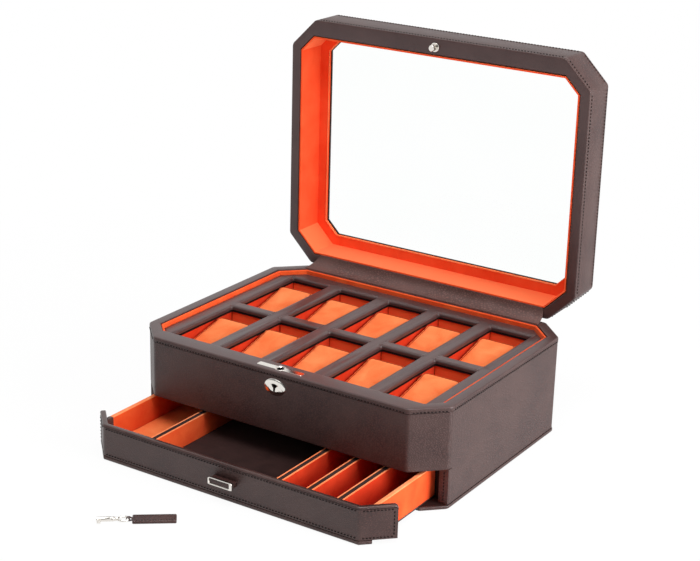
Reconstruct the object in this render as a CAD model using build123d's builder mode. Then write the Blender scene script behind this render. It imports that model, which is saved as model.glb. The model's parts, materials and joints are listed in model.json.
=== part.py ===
# Watch box with a glazed lid, ten cushioned wells and a drawer underneath.
# Millimetres. X runs to the right along the front, Y to the rear, Z up.
# The origin is the middle of the underside. The lid stands open and the drawer is part way out.

import os
from math import cos, radians, sin, sqrt

from build123d import *

os.makedirs("parts", exist_ok=True)

# Casing
width = 340.0
depth = 262.0
base_height = 100.0
corner_leg = 28.0
corner_round = 6.0
edge_round = 1.2
inner_edge_round = 0.8
wall = 10.0
front_wall = 16.0
front_facing = 5.0
panel_wrap = 4.0
felt_thickness = 0.6
felt_margin = 3.0
bottom_thickness = 3.4
drawer_opening = 35.0
shelf_thickness = 5.0

# Lining that stands up inside the rim
liner_gap = 1.0
liner_thickness = 1.8
liner_drop = 1.0

# Tray with its wells
columns = 5
tray_drop = 5.0
tray_thickness = 4.5
tray_roll = 2.2
tray_fit = 0.2
side_border = 16.0
rear_border = 17.5
front_border = 9.0
column_bar = 15.2
row_bar = 13.0
opening_corner = 1.5
well_setback = 1.0
well_floor_thickness = 1.0
well_lining_thickness = 2.0
halving_clearance = 0.1

# Cushions
cushion_side_clearance = 0.3
cushion_rest_gap = 0.3
cushion_rear_gap = 22.0
cushion_front_gap = 7.2
cushion_drop = 3.6
cushion_slope = 12.5
cushion_crown = 1.0
cushion_draw_in = 0.5
cushion_corner = 3.5
cushion_edge_round = 1.6

# Drawer
drawer_rest = 75.0
drawer_facing = 5.0
drawer_front_top_gap = 2.7
drawer_return_leg = 24.5
skirt_depth = 9.3
skirt_gap = 0.5
skirt_floor_gap = 0.5
drawer_running_gap = 0.3
drawer_base_thickness = 5.0
drawer_side_thickness = 4.0
drawer_side_gap = 0.5
drawer_side_height = 30.7
drawer_side_corner = 4.0
drawer_rear_gap = 26.0
guide_width = 8.5
guide_front_setback = 8.0
guide_rear_setback = 5.0
bay_lining_thickness = 1.9
centre_pad_thickness = 4.5
bay_clearance = 0.3
divider_thickness = 6.0
left_bay_width = 57.7
right_bay_width = 25.7
right_bays = 3

# Pull on the drawer front
pull_width = 26.5
pull_height = 6.8
pull_reach = 8.5
pull_cap_wall = 0.7
pull_cap_depth = 3.5
pull_cap_lip = 0.3
pull_corner = 1.6
pull_centre_z = 20.0

# Lock in the front wall
lock_case_width = 40.0
lock_case_depth = 8.0
lock_case_height = 24.8
lock_case_wall = 1.0
lock_window_half = 6.0
lock_plate_width = 50.0
lock_plate_depth = 6.8
lock_plate_thickness = 1.2
lock_plate_corner = 1.4
lock_y_from_front = 8.7
collar_diameter = 10.5
catch_hole = 6.8
escutcheon_width = 23.0
escutcheon_height = 16.5
escutcheon_thickness = 1.4
escutcheon_round = 0.9
escutcheon_below_keyhole = 2.4
keyhole_diameter = 5.6
keyhole_slot = 2.2
keyhole_reach = 7.5
keyhole_below_rim = 13.0
core_radius = 5.4
core_thickness = 3.6
core_slot = 2.4
core_slot_depth = 3.4
core_clearance = 0.2
lock_post_diameter = 2.4
running_clearance = 0.05
drive_pin_diameter = 1.6
drive_pin_length = 1.9
drive_pin_clearance = 0.15
bolt_travel = 4.0
bolt_length = 13.0
bolt_height = 3.0
bolt_width = 4.2
bolt_stud_gap = 1.3
bolt_tail_thickness = 1.8
bolt_foot_height = 4.0
bolt_prong = 0.85
bolt_neck_width = 4.0
bolt_neck_gap = 0.5

# Lid
lid_height = 40.0
parting_gap = 0.5
lid_top_round = 1.5
lid_flange_depth = 34.0
lid_flange_thickness = 2.0
window_inset = 24.3
window_front_extra = 1.7
glass_thickness = 2.0
glass_rebate = 6.0
glass_fit = 0.2
striker_flange = 9.5
striker_flange_thickness = 1.3
striker_proud = 0.3
striker_diameter = 6.2
striker_reach = 7.0
striker_eye_width = 4.8
striker_eye_height = 3.6
striker_eye_floor = 0.5

# Hinges
hinge_spacing = 210.0
hinge_width = 40.0
hinge_knuckles = 5
hinge_barrel_radius = 2.4
hinge_barrel_gap = 0.15
hinge_pin_diameter = 2.0
hinge_leaf_thickness = 1.2
hinge_leaf_depth = 8.5
knuckle_gap = 0.1

# Leather strip over the hinges
strip_end_gap = 0.9
strip_thickness = 0.8
strip_tuck = 1.5
strip_sag = 3.6
strip_stand_off = 0.9

# Key with its leather fob, lying in front of the box
key_x = -66.7
key_y = -302.6
key_angle = 38.0
key_length = 29.0
key_barrel = 4.4
key_bore = 2.6
key_bore_depth = 8.0
bit_setback = 0.6
bit_length = 3.4
bit_reach = 6.6
bit_thickness = 1.8
bow_length = 11.5
bow_width = 9.8
bow_wall = 1.8
bow_thickness = 2.0
thong_diameter = 1.6
thong_thickness = 0.9
thong_gap = 0.3
fob_length = 38.5
fob_width = 13.0
fob_thickness = 3.0
fob_round = 0.6
fob_gap = 2.0

# Heights and places that follow from the sizes above
bottom_top = felt_thickness + bottom_thickness
shelf_bottom = bottom_top + drawer_opening
shelf_top = shelf_bottom + shelf_thickness
front_extra = front_wall - wall
liner_inset = wall + liner_gap + liner_thickness
tray_top = base_height - tray_drop
tray_bottom = tray_top - tray_thickness
well_floor_top = shelf_top + well_floor_thickness
front_face = -depth / 2
rear_face = depth / 2
front_vertex = front_face + corner_leg
front_seam = front_vertex + panel_wrap
rear_seam = -front_seam

tray_half = width / 2 - liner_inset
tray_rear = rear_face - liner_inset
tray_front = front_face + liner_inset + front_extra
cells_half = tray_half - side_border
cells_rear = tray_rear - rear_border
cells_front = tray_front + front_border
cell_width = (2 * cells_half - (columns - 1) * column_bar) / columns
cell_depth = (cells_rear - cells_front - row_bar) / 2
cell_pitch = cell_width + column_bar
row_pitch = cell_depth + row_bar
wells_half = cells_half + well_setback
wells_rear = cells_rear + well_setback
wells_front = cells_front - well_setback
row_bar_y = (cells_rear + cells_front) / 2
cells_y = row_bar_y

lock_y = front_face + lock_y_from_front
keyhole_z = base_height - keyhole_below_rim
lock_case_front = front_face + front_facing
lock_case_top = base_height - lock_plate_thickness
lock_case_floor = lock_case_top - lock_case_height

axis_y = rear_face + hinge_barrel_radius + hinge_barrel_gap
axis_z = base_height + parting_gap / 2
lid_bottom = base_height + parting_gap
lid_top = lid_bottom + lid_height


def octagon(inset, extra=0.0, rounding=0.0):
    """Outline of the box moved inwards, with extra at the front and all eight corners rounded."""
    half = width / 2 - inset
    rear = rear_face - inset
    front = front_face + inset + extra
    rear_leg = corner_leg - (2 - sqrt(2)) * inset
    front_leg = rear_leg - extra
    with BuildSketch(Plane.XY, mode=Mode.PRIVATE) as outline:
        with BuildLine():
            Polyline(
                (-half, front + front_leg),
                (-half + front_leg, front),
                (half - front_leg, front),
                (half, front + front_leg),
                (half, rear - rear_leg),
                (half - rear_leg, rear),
                (rear_leg - half, rear),
                (-half, rear - rear_leg),
                close=True,
            )
        make_face()
        if rounding > 0:
            fillet(outline.vertices(), rounding)
    return outline.sketch_local


def lid_plane(height=0.0):
    """Plane of the open lid, at a height and with a y that are given as for the shut lid."""
    return Plane(origin=(0, axis_y + height - axis_z, axis_z + axis_y), x_dir=(1, 0, 0), z_dir=(0, 1, 0))


def drawer_plane(height=0.0):
    """Plane of the pulled-out drawer, with a y that is given as for the shut drawer."""
    return Plane((0, -drawer_rest, height))


def write(piece, name):
    """Label a finished piece and write its file."""
    piece.part.label = name
    export_step(piece.part, f"parts/{name}.step")


# Felt under the box
recess_rear = front_face + skirt_depth + skirt_gap
with BuildPart() as base_felt:
    with BuildSketch():
        add(octagon(felt_margin))
        with Locations((0, front_face)):
            Rectangle(width, 2 * (recess_rear + felt_margin - front_face), mode=Mode.SUBTRACT)
    extrude(amount=felt_thickness)
write(base_felt, "base_felt")

# Bottom board, whose front strip belongs to the drawer
with BuildPart() as bottom_board:
    with BuildSketch(Plane.XY.offset(felt_thickness)):
        add(octagon(0, rounding=corner_round))
        with Locations((0, front_face)):
            Rectangle(width, 2 * (recess_rear - front_face), mode=Mode.SUBTRACT)
    extrude(amount=bottom_thickness)
    fillet(bottom_board.faces().sort_by(Axis.Z)[0].edges().sort_by(Axis.Y)[-1], inner_edge_round)
write(bottom_board, "bottom_board")

# Ring of walls that the side, front and rear panels are cut from
with BuildPart() as casing_ring:
    with BuildSketch(Plane.XY.offset(bottom_top)):
        add(octagon(0, rounding=corner_round))
        add(octagon(wall), mode=Mode.SUBTRACT)
        with Locations((0, front_face / 2)):
            Rectangle(width - 2 * wall, -front_face, mode=Mode.SUBTRACT)
    extrude(amount=drawer_opening)
    with BuildSketch(Plane.XY.offset(shelf_bottom)):
        add(octagon(0, rounding=corner_round))
        add(octagon(wall, front_extra), mode=Mode.SUBTRACT)
    extrude(amount=base_height - shelf_bottom)
    rim_face = casing_ring.faces().sort_by(Axis.Z)[-1]
    fillet(rim_face.outer_wire().edges().sort_by(Axis.Y)[0], edge_round)
    rim_face = casing_ring.faces().sort_by(Axis.Z)[-1]
    fillet(rim_face.inner_wires()[0].edges(), inner_edge_round)

# Side walls, whose lower front ends stop where the drawer front begins
with BuildPart() as right_wall:
    add(casing_ring.part)
    with BuildSketch(Plane.YZ):
        with BuildLine():
            Polyline(
                (front_vertex, 0),
                (rear_seam, 0),
                (rear_seam, base_height),
                (front_seam, base_height),
                (front_seam, shelf_bottom),
                (front_vertex, shelf_bottom),
                close=True,
            )
        make_face()
    extrude(amount=width, mode=Mode.INTERSECT)
write(right_wall, "right_wall")

with BuildPart() as left_wall:
    mirror(right_wall.part, about=Plane.YZ)
write(left_wall, "left_wall")

# Rear panel with the rear corners, let in for the hinge leaves
with BuildPart() as back_wall:
    add(casing_ring.part)
    with Locations((0, rear_seam, 0)):
        Box(width, depth, 2 * base_height, align=(Align.CENTER, Align.MIN, Align.CENTER), mode=Mode.INTERSECT)
    with Locations((-hinge_spacing / 2, rear_face, base_height), (hinge_spacing / 2, rear_face, base_height)):
        Box(
            hinge_width,
            2 * hinge_leaf_depth,
            2 * hinge_leaf_thickness,
            mode=Mode.SUBTRACT,
        )
write(back_wall, "back_wall")

# Front rail behind the facing, housed for the lock
rail_half = width / 2 - wall - (corner_leg - (2 - sqrt(2)) * wall - front_extra)
with BuildPart() as front_rail:
    add(casing_ring.part)
    with Locations((0, lock_case_front, shelf_bottom)):
        Box(
            2 * rail_half,
            front_wall - front_facing,
            base_height,
            align=(Align.CENTER, Align.MIN, Align.MIN),
            mode=Mode.INTERSECT,
        )
    with Locations((0, lock_case_front, lock_case_floor)):
        Box(
            lock_case_width,
            lock_case_depth,
            base_height,
            align=(Align.CENTER, Align.MIN, Align.MIN),
            mode=Mode.SUBTRACT,
        )
    with Locations((0, lock_y, base_height)):
        Box(lock_plate_width, lock_plate_depth, 2 * lock_plate_thickness, mode=Mode.SUBTRACT)
        Cylinder(collar_diameter / 2, 2 * lock_plate_thickness, mode=Mode.SUBTRACT)
write(front_rail, "front_rail")


def keyhole():
    """Round hole with a slot below it, drawn about the keyhole's centre in the front's plane."""
    with BuildSketch(Plane.XY, mode=Mode.PRIVATE) as outline:
        Circle(keyhole_diameter / 2)
        Rectangle(keyhole_slot, keyhole_reach, align=(Align.CENTER, Align.MAX))
    return outline.sketch_local


# Front facing with the front corners, drilled for the keyhole
with BuildPart() as front_panel:
    add(casing_ring.part)
    with Locations((0, front_seam, shelf_bottom)):
        Box(
            width,
            depth,
            base_height,
            align=(Align.CENTER, Align.MAX, Align.MIN),
            mode=Mode.INTERSECT,
        )
    with Locations((0, lock_case_front, shelf_bottom)):
        Box(
            2 * rail_half,
            depth,
            base_height,
            align=(Align.CENTER, Align.MIN, Align.MIN),
            mode=Mode.SUBTRACT,
        )
    fillet(front_panel.faces().sort_by(Axis.Z)[0].edges().sort_by(Axis.Y)[0], edge_round)
    with Locations((0, lock_y, base_height)):
        Cylinder(collar_diameter / 2, 2 * lock_plate_thickness, mode=Mode.SUBTRACT)
    with BuildSketch(Plane(origin=(0, front_face, keyhole_z), x_dir=(1, 0, 0), z_dir=(0, -1, 0))):
        add(keyhole())
    extrude(amount=-2 * front_facing, mode=Mode.SUBTRACT)
write(front_panel, "front_panel")

# Shelf between the drawer and the wells
with BuildPart() as mid_shelf:
    with BuildSketch(Plane.XY.offset(shelf_bottom)):
        add(octagon(wall, front_extra))
    extrude(amount=shelf_thickness)
write(mid_shelf, "mid_shelf")

# Lining round the inside of the rim
with BuildPart() as rim_liner:
    with BuildSketch(Plane.XY.offset(shelf_top)):
        add(octagon(liner_inset - liner_thickness, front_extra, inner_edge_round))
        add(octagon(liner_inset, front_extra, inner_edge_round), mode=Mode.SUBTRACT)
    extrude(amount=base_height - liner_drop - shelf_top)
    top_face = rim_liner.faces().sort_by(Axis.Z)[-1]
    fillet(top_face.inner_wires()[0].edges().sort_by(Axis.Y)[0], liner_thickness / 2 - running_clearance)
write(rim_liner, "rim_liner")

# Padded frame round the ten wells
with BuildPart() as tray_frame:
    with BuildSketch(Plane.XY.offset(tray_bottom)):
        add(octagon(liner_inset + tray_fit, front_extra))
        with Locations((0, cells_y)):
            with GridLocations(cell_pitch, row_pitch, columns, 2):
                RectangleRounded(cell_width, cell_depth, opening_corner, mode=Mode.SUBTRACT)
    extrude(amount=tray_thickness)
    top_face = tray_frame.faces().sort_by(Axis.Z)[-1]
    fillet([edge for ring in top_face.inner_wires() for edge in ring.edges()], tray_roll)
write(tray_frame, "tray_frame")

# Floor sheet of the wells
with BuildPart() as well_floor:
    with BuildSketch(Plane.XY.offset(shelf_top)):
        add(octagon(liner_inset + tray_fit, front_extra))
    extrude(amount=well_floor_thickness)
write(well_floor, "well_floor")

# Lined wall round all the wells
well_height = tray_bottom - well_floor_top
with BuildPart() as tray_lining:
    with BuildSketch(Plane.XY.offset(well_floor_top)):
        with Locations((0, (wells_rear + wells_front) / 2)):
            Rectangle(
                2 * (wells_half + well_lining_thickness),
                wells_rear - wells_front + 2 * well_lining_thickness,
            )
            Rectangle(2 * wells_half, wells_rear - wells_front, mode=Mode.SUBTRACT)
    extrude(amount=well_height)
write(tray_lining, "tray_lining")

# Partition between the two rows, notched from below over each column partition
cross_thickness = row_bar - 2 * well_setback
column_thickness = column_bar - 2 * well_setback
half_height = well_height / 2
with BuildPart() as cross_partition:
    with Locations((0, row_bar_y, well_floor_top)):
        Box(
            2 * wells_half,
            cross_thickness,
            well_height,
            align=(Align.CENTER, Align.CENTER, Align.MIN),
        )
        with GridLocations(cell_pitch, 1, columns - 1, 1):
            Box(
                column_thickness + 2 * halving_clearance,
                cross_thickness,
                half_height + halving_clearance,
                align=(Align.CENTER, Align.CENTER, Align.MIN),
                mode=Mode.SUBTRACT,
            )
write(cross_partition, "cross_partition")

# Partitions between the columns, notched from above
for number in range(1, columns):
    partition_x = (number - columns / 2) * cell_pitch
    with BuildPart() as column_partition:
        with Locations((partition_x, (wells_rear + wells_front) / 2, well_floor_top)):
            Box(
                column_thickness,
                wells_rear - wells_front,
                well_height,
                align=(Align.CENTER, Align.CENTER, Align.MIN),
            )
        with Locations((partition_x, row_bar_y, tray_bottom)):
            Box(
                column_thickness,
                cross_thickness + 2 * halving_clearance,
                half_height,
                align=(Align.CENTER, Align.CENTER, Align.MAX),
                mode=Mode.SUBTRACT,
            )
    write(column_partition, f"column_partition_{number}")

# Ten cushions, each a wedge with a crowned top that falls to the front
cushion_width = cell_width - 2 * cushion_side_clearance
cushion_length = cell_depth + 2 * well_setback - cushion_rear_gap - cushion_front_gap
cushion_bottom = well_floor_top + cushion_rest_gap
cushion_top = tray_top - cushion_drop
fall = (0, -cos(radians(cushion_slope)), -sin(radians(cushion_slope)))
for number in range(1, 2 * columns + 1):
    row, column = divmod(number - 1, columns)
    cushion_x = (column - (columns - 1) / 2) * cell_pitch
    cushion_rear = cells_rear - row * row_pitch + well_setback - cushion_rear_gap
    cushion_front = cushion_rear - cushion_length
    with BuildPart() as cushion:
        with BuildSketch(Plane((cushion_x, cushion_rear, cushion_bottom))) as plan:
            with BuildLine():
                half = cushion_width / 2
                Line((-half, 0), (half, 0))
                ThreePointArc((half, 0), (half - cushion_draw_in, -cushion_length / 2), (half, -cushion_length))
                Line((half, -cushion_length), (-half, -cushion_length))
                ThreePointArc(
                    (-half, -cushion_length),
                    (-half + cushion_draw_in, -cushion_length / 2),
                    (-half, 0),
                )
            make_face()
            fillet(plan.vertices(), cushion_corner)
        extrude(amount=base_height - cushion_bottom)
        with BuildSketch(Plane((cushion_x, cushion_rear, cushion_top), x_dir=(1, 0, 0), z_dir=fall)):
            with BuildLine():
                reach = cell_width / 2
                Polyline((-reach, 0), (-reach, -base_height), (reach, -base_height), (reach, 0))
                ThreePointArc((reach, 0), (0, cushion_crown), (-reach, 0))
            make_face()
        extrude(amount=cell_depth, both=True, mode=Mode.INTERSECT)
        fillet(cushion.faces().sort_by(Axis.Z)[-1].edges(), cushion_edge_round)
    write(cushion, f"cushion_{number}")

# Rails that guide the drawer's sides
with BuildPart() as drawer_guides:
    with Locations((0, (front_vertex + guide_front_setback + rear_seam - guide_rear_setback) / 2, bottom_top)):
        with GridLocations(width - 2 * wall - guide_width, 1, 2, 1):
            Box(
                guide_width,
                rear_seam - guide_rear_setback - front_vertex - guide_front_setback,
                drawer_opening,
                align=(Align.CENTER, Align.CENTER, Align.MIN),
            )
write(drawer_guides, "drawer_guides")

# Lock case, a steel box let into the front rail, with a post for the tubular key
with BuildPart() as lock_case:
    with Locations((0, lock_case_front, lock_case_floor)):
        Box(
            lock_case_width,
            lock_case_depth,
            lock_case_height,
            align=(Align.CENTER, Align.MIN, Align.MIN),
        )
    with Locations((0, lock_case_front + lock_case_wall, lock_case_floor + lock_case_wall)):
        Box(
            lock_case_width - 2 * lock_case_wall,
            lock_case_depth - 2 * lock_case_wall,
            lock_case_height - 2 * lock_case_wall,
            align=(Align.CENTER, Align.MIN, Align.MIN),
            mode=Mode.SUBTRACT,
        )
        Box(
            2 * lock_window_half,
            lock_case_depth - 2 * lock_case_wall,
            lock_case_height,
            align=(Align.CENTER, Align.MIN, Align.MIN),
            mode=Mode.SUBTRACT,
        )
    with Locations((0, lock_case_front, lid_bottom - striker_reach - lock_case_wall)):
        Box(
            catch_hole,
            2 * lock_case_wall,
            lock_case_height,
            align=(Align.CENTER, Align.CENTER, Align.MIN),
            mode=Mode.SUBTRACT,
        )
    with BuildSketch(Plane(origin=(0, lock_case_front, keyhole_z), x_dir=(1, 0, 0), z_dir=(0, -1, 0))):
        add(keyhole())
    extrude(amount=-lock_case_wall, mode=Mode.SUBTRACT)
    with BuildSketch(
        Plane(origin=(0, lock_case_front + lock_case_depth, keyhole_z), x_dir=(1, 0, 0), z_dir=(0, -1, 0))
    ):
        Circle(lock_post_diameter / 2)
    extrude(amount=lock_case_depth - lock_case_wall)
write(lock_case, "lock_case")

# Top plate of the lock with the collar that takes the lid's stud
with BuildPart() as lock_plate:
    with BuildSketch(Plane((0, lock_y, base_height - lock_plate_thickness))):
        RectangleRounded(lock_plate_width, lock_plate_depth, lock_plate_corner)
        Circle(collar_diameter / 2)
        Circle(catch_hole / 2, mode=Mode.SUBTRACT)
    extrude(amount=lock_plate_thickness)
write(lock_plate, "lock_plate")

# Oval escutcheon round the keyhole
with BuildPart() as escutcheon:
    with BuildSketch(Plane(origin=(0, front_face, keyhole_z), x_dir=(1, 0, 0), z_dir=(0, -1, 0))):
        with Locations((0, -escutcheon_below_keyhole)):
            Ellipse(escutcheon_width / 2, escutcheon_height / 2)
    extrude(amount=escutcheon_thickness)
    fillet(escutcheon.faces().sort_by(Axis.Y)[0].edges(), escutcheon_round)
    with BuildSketch(Plane(origin=(0, front_face, keyhole_z), x_dir=(1, 0, 0), z_dir=(0, -1, 0))):
        add(keyhole())
    extrude(amount=escutcheon_thickness, mode=Mode.SUBTRACT)
write(escutcheon, "escutcheon")

# Core that the key turns on the post; its pin drives the bolt
drive_radius = bolt_travel / sqrt(2)
core_front = lock_case_front + lock_case_wall + core_clearance
core_rear = core_front + core_thickness
core_plane = Plane(origin=(0, core_rear, keyhole_z), x_dir=(1, 0, 0), z_dir=(0, -1, 0))
with BuildPart() as lock_core:
    with BuildSketch(core_plane):
        Circle(core_radius)
        Circle(lock_post_diameter / 2 + running_clearance, mode=Mode.SUBTRACT)
        with Locations((0, -core_radius)):
            Rectangle(core_slot, 2 * core_slot_depth, mode=Mode.SUBTRACT)
    extrude(amount=core_thickness)
    with BuildSketch(core_plane):
        with PolarLocations(drive_radius, 1, start_angle=45):
            Circle(drive_pin_diameter / 2)
    extrude(amount=-drive_pin_length)
write(lock_core, "lock_core")

# Bolt that slides under the plate and catches the stud's eye; its fork straddles the drive pin
bolt_z = lid_bottom - striker_reach + striker_eye_floor + striker_eye_height / 2
bolt_nose = striker_diameter / 2 + bolt_stud_gap
fork_x = bolt_travel / 2
tail_y = core_rear + core_clearance
fork_bottom = keyhole_z + lock_post_diameter / 2 + 2 * core_clearance
fork_slot = drive_pin_diameter + 2 * drive_pin_clearance
fork_top = keyhole_z + drive_radius + fork_slot / 2
neck_x = striker_diameter / 2 + bolt_travel + bolt_neck_gap
foot_x = fork_x - fork_slot / 2 - bolt_prong
with BuildPart() as lock_bolt:
    with Locations((bolt_nose, lock_y, bolt_z)):
        Box(bolt_length, bolt_width, bolt_height, align=(Align.MIN, Align.CENTER, Align.CENTER))
    with Locations((foot_x, tail_y, fork_bottom)):
        Box(
            neck_x + bolt_neck_width - foot_x,
            bolt_tail_thickness,
            bolt_foot_height,
            align=(Align.MIN, Align.MIN, Align.MIN),
        )
    with Locations((neck_x, tail_y, fork_bottom)):
        Box(
            bolt_neck_width,
            bolt_tail_thickness,
            bolt_z - fork_bottom,
            align=(Align.MIN, Align.MIN, Align.MIN),
        )
    with Locations((fork_x, tail_y, fork_bottom)):
        Box(
            fork_slot,
            bolt_tail_thickness,
            fork_top - fork_bottom,
            align=(Align.CENTER, Align.MIN, Align.MIN),
            mode=Mode.SUBTRACT,
        )
write(lock_bolt, "lock_bolt")

# Walls of the lid
with BuildPart() as lid_walls:
    with BuildSketch(lid_plane(lid_bottom)):
        add(octagon(0, rounding=corner_round))
        add(octagon(wall, front_extra), mode=Mode.SUBTRACT)
    extrude(amount=lid_height)
    top_face = lid_walls.faces().sort_by(Axis.Y)[-1]
    fillet(top_face.outer_wire().edges().sort_by(Axis.Z)[0], lid_top_round)
    mating_face = lid_walls.faces().sort_by(Axis.Y)[0]
    fillet(mating_face.outer_wire().edges().sort_by(Axis.Z)[0], edge_round)
    mating_face = lid_walls.faces().sort_by(Axis.Y)[0]
    fillet(mating_face.inner_wires()[0].edges(), inner_edge_round)
    with BuildSketch(lid_plane(lid_bottom)):
        with Locations((-hinge_spacing / 2, rear_face), (hinge_spacing / 2, rear_face)):
            Rectangle(hinge_width, 2 * hinge_leaf_depth)
    extrude(amount=hinge_leaf_thickness, mode=Mode.SUBTRACT)
    with BuildSketch(lid_plane(lid_bottom)):
        with Locations((0, lock_y)):
            Circle(striker_flange / 2)
    extrude(amount=striker_flange_thickness - striker_proud, mode=Mode.SUBTRACT)
write(lid_walls, "lid_walls")

# Top frame of the lid, rebated for the glass
glass_bottom = lid_bottom + lid_flange_depth + lid_flange_thickness
glass_top = glass_bottom + glass_thickness
glass_inset = window_inset - glass_rebate
with BuildPart() as lid_top_frame:
    with BuildSketch(lid_plane(glass_bottom)):
        add(octagon(wall, front_extra))
        add(octagon(glass_inset, window_front_extra), mode=Mode.SUBTRACT)
    extrude(amount=glass_thickness)
    with BuildSketch(lid_plane(glass_top)):
        add(octagon(wall, front_extra))
        add(octagon(window_inset, window_front_extra, inner_edge_round), mode=Mode.SUBTRACT)
    extrude(amount=lid_top - glass_top)
    top_face = lid_top_frame.faces().sort_by(Axis.Y)[-1]
    fillet(top_face.inner_wires()[0].edges().sort_by(Axis.Z)[0], inner_edge_round)
write(lid_top_frame, "lid_top_frame")

# Lining round the inside of the lid
with BuildPart() as lid_liner:
    with BuildSketch(lid_plane(lid_bottom)):
        add(octagon(liner_inset - liner_thickness, front_extra, inner_edge_round))
        add(octagon(liner_inset, front_extra, inner_edge_round), mode=Mode.SUBTRACT)
    extrude(amount=lid_flange_depth)
    mating_face = lid_liner.faces().sort_by(Axis.Y)[0]
    fillet(mating_face.inner_wires()[0].edges().sort_by(Axis.Z)[0], liner_thickness / 2 - running_clearance)
write(lid_liner, "lid_liner")

# Lined flange that holds the glass from inside
with BuildPart() as lid_flange:
    with BuildSketch(lid_plane(lid_bottom + lid_flange_depth)):
        add(octagon(wall, front_extra))
        add(octagon(window_inset, window_front_extra, inner_edge_round), mode=Mode.SUBTRACT)
    extrude(amount=lid_flange_thickness)
    inside_face = lid_flange.faces().sort_by(Axis.Y)[0]
    fillet(inside_face.inner_wires()[0].edges().sort_by(Axis.Z)[0], inner_edge_round)
write(lid_flange, "lid_flange")

with BuildPart() as lid_glass:
    with BuildSketch(lid_plane(glass_bottom)):
        add(octagon(glass_inset + glass_fit, window_front_extra))
    extrude(amount=glass_thickness)
write(lid_glass, "lid_glass")

# Stud on the lid that the bolt catches by its eye
with BuildPart() as striker:
    with BuildSketch(lid_plane(lid_bottom - striker_proud)):
        with Locations((0, lock_y)):
            Circle(striker_flange / 2)
    extrude(amount=striker_flange_thickness)
    fillet(striker.faces().sort_by(Axis.Y)[0].edges(), striker_proud)
    with BuildSketch(lid_plane(lid_bottom)):
        with Locations((0, lock_y)):
            Circle(striker_diameter / 2)
    extrude(amount=-striker_reach)
    chamfer(striker.faces().sort_by(Axis.Y)[0].edges(), striker_proud)
    with BuildSketch(lid_plane(bolt_z - striker_eye_height / 2)):
        with Locations((0, lock_y)):
            Rectangle(2 * striker_diameter, striker_eye_width)
    extrude(amount=striker_eye_height, mode=Mode.SUBTRACT)
write(striker, "striker")

# Hinges: three knuckles on the casing's leaf, two on the lid's
knuckle_length = hinge_width / hinge_knuckles
hinge_places = [-hinge_spacing / 2, hinge_spacing / 2]


def hinge_leaves(first_knuckle, leaf_bottom, plane):
    """Both leaves of one side: a plate let into the rim and every second knuckle of the barrel."""
    with BuildPart(plane) as leaves:
        for hinge_x in hinge_places:
            with Locations((hinge_x, rear_face - hinge_leaf_depth, leaf_bottom)):
                Box(
                    hinge_width,
                    hinge_leaf_depth,
                    hinge_leaf_thickness,
                    align=(Align.CENTER, Align.MIN, Align.MIN),
                )
            for index in range(first_knuckle, hinge_knuckles, 2):
                knuckle_x = hinge_x + (index + 0.5 - hinge_knuckles / 2) * knuckle_length
                with Locations((knuckle_x, rear_face - hinge_leaf_depth, leaf_bottom)):
                    Box(
                        knuckle_length - knuckle_gap,
                        hinge_leaf_depth + axis_y - rear_face,
                        hinge_leaf_thickness,
                        align=(Align.CENTER, Align.MIN, Align.MIN),
                    )
                with Locations((knuckle_x, axis_y, axis_z)):
                    Cylinder(hinge_barrel_radius, knuckle_length - knuckle_gap, rotation=(0, 90, 0))
            with Locations((hinge_x, axis_y, axis_z)):
                Cylinder(
                    hinge_pin_diameter / 2 + running_clearance,
                    hinge_width,
                    rotation=(0, 90, 0),
                    mode=Mode.SUBTRACT,
                )
    return leaves


hinge_base_leaves = hinge_leaves(0, base_height - hinge_leaf_thickness, Plane.XY)
write(hinge_base_leaves, "hinge_base_leaves")

hinge_lid_leaves = hinge_leaves(1, lid_bottom, lid_plane())
write(hinge_lid_leaves, "hinge_lid_leaves")

with BuildPart() as hinge_pins:
    for hinge_x in hinge_places:
        with BuildSketch(Plane.YZ.offset(hinge_x - hinge_width / 2)):
            with Locations((axis_y, axis_z)):
                Circle(hinge_pin_diameter / 2)
        extrude(amount=hinge_width)
write(hinge_pins, "hinge_pins")

# Leather strip that closes the gap over the hinges, tucked behind both linings
strip_y = rear_face - wall - liner_gap / 2
strip_lid_z = axis_z + axis_y - rear_face + wall + liner_gap / 2
mating_y = axis_y + lid_bottom - axis_z
strip_start = Vector(strip_y, base_height + strip_stand_off)
strip_end = Vector(mating_y - strip_stand_off, strip_lid_z)
strip_chord = strip_end - strip_start
strip_mid = strip_start + strip_chord * 0.5 + Vector(strip_chord.Y, -strip_chord.X).normalized() * strip_sag
strip_half = width / 2 - wall - (corner_leg - (2 - sqrt(2)) * wall) - strip_end_gap
with BuildPart() as hinge_leather:
    with BuildSketch(Plane.YZ.offset(-strip_half)):
        with BuildLine():
            Line((strip_y, base_height - strip_tuck), strip_start)
            ThreePointArc(strip_start, strip_mid, strip_end)
            Line(strip_end, (mating_y + strip_tuck, strip_lid_z))
        trace(line_width=strip_thickness)
    extrude(amount=2 * strip_half)
write(hinge_leather, "hinge_leather")

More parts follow.
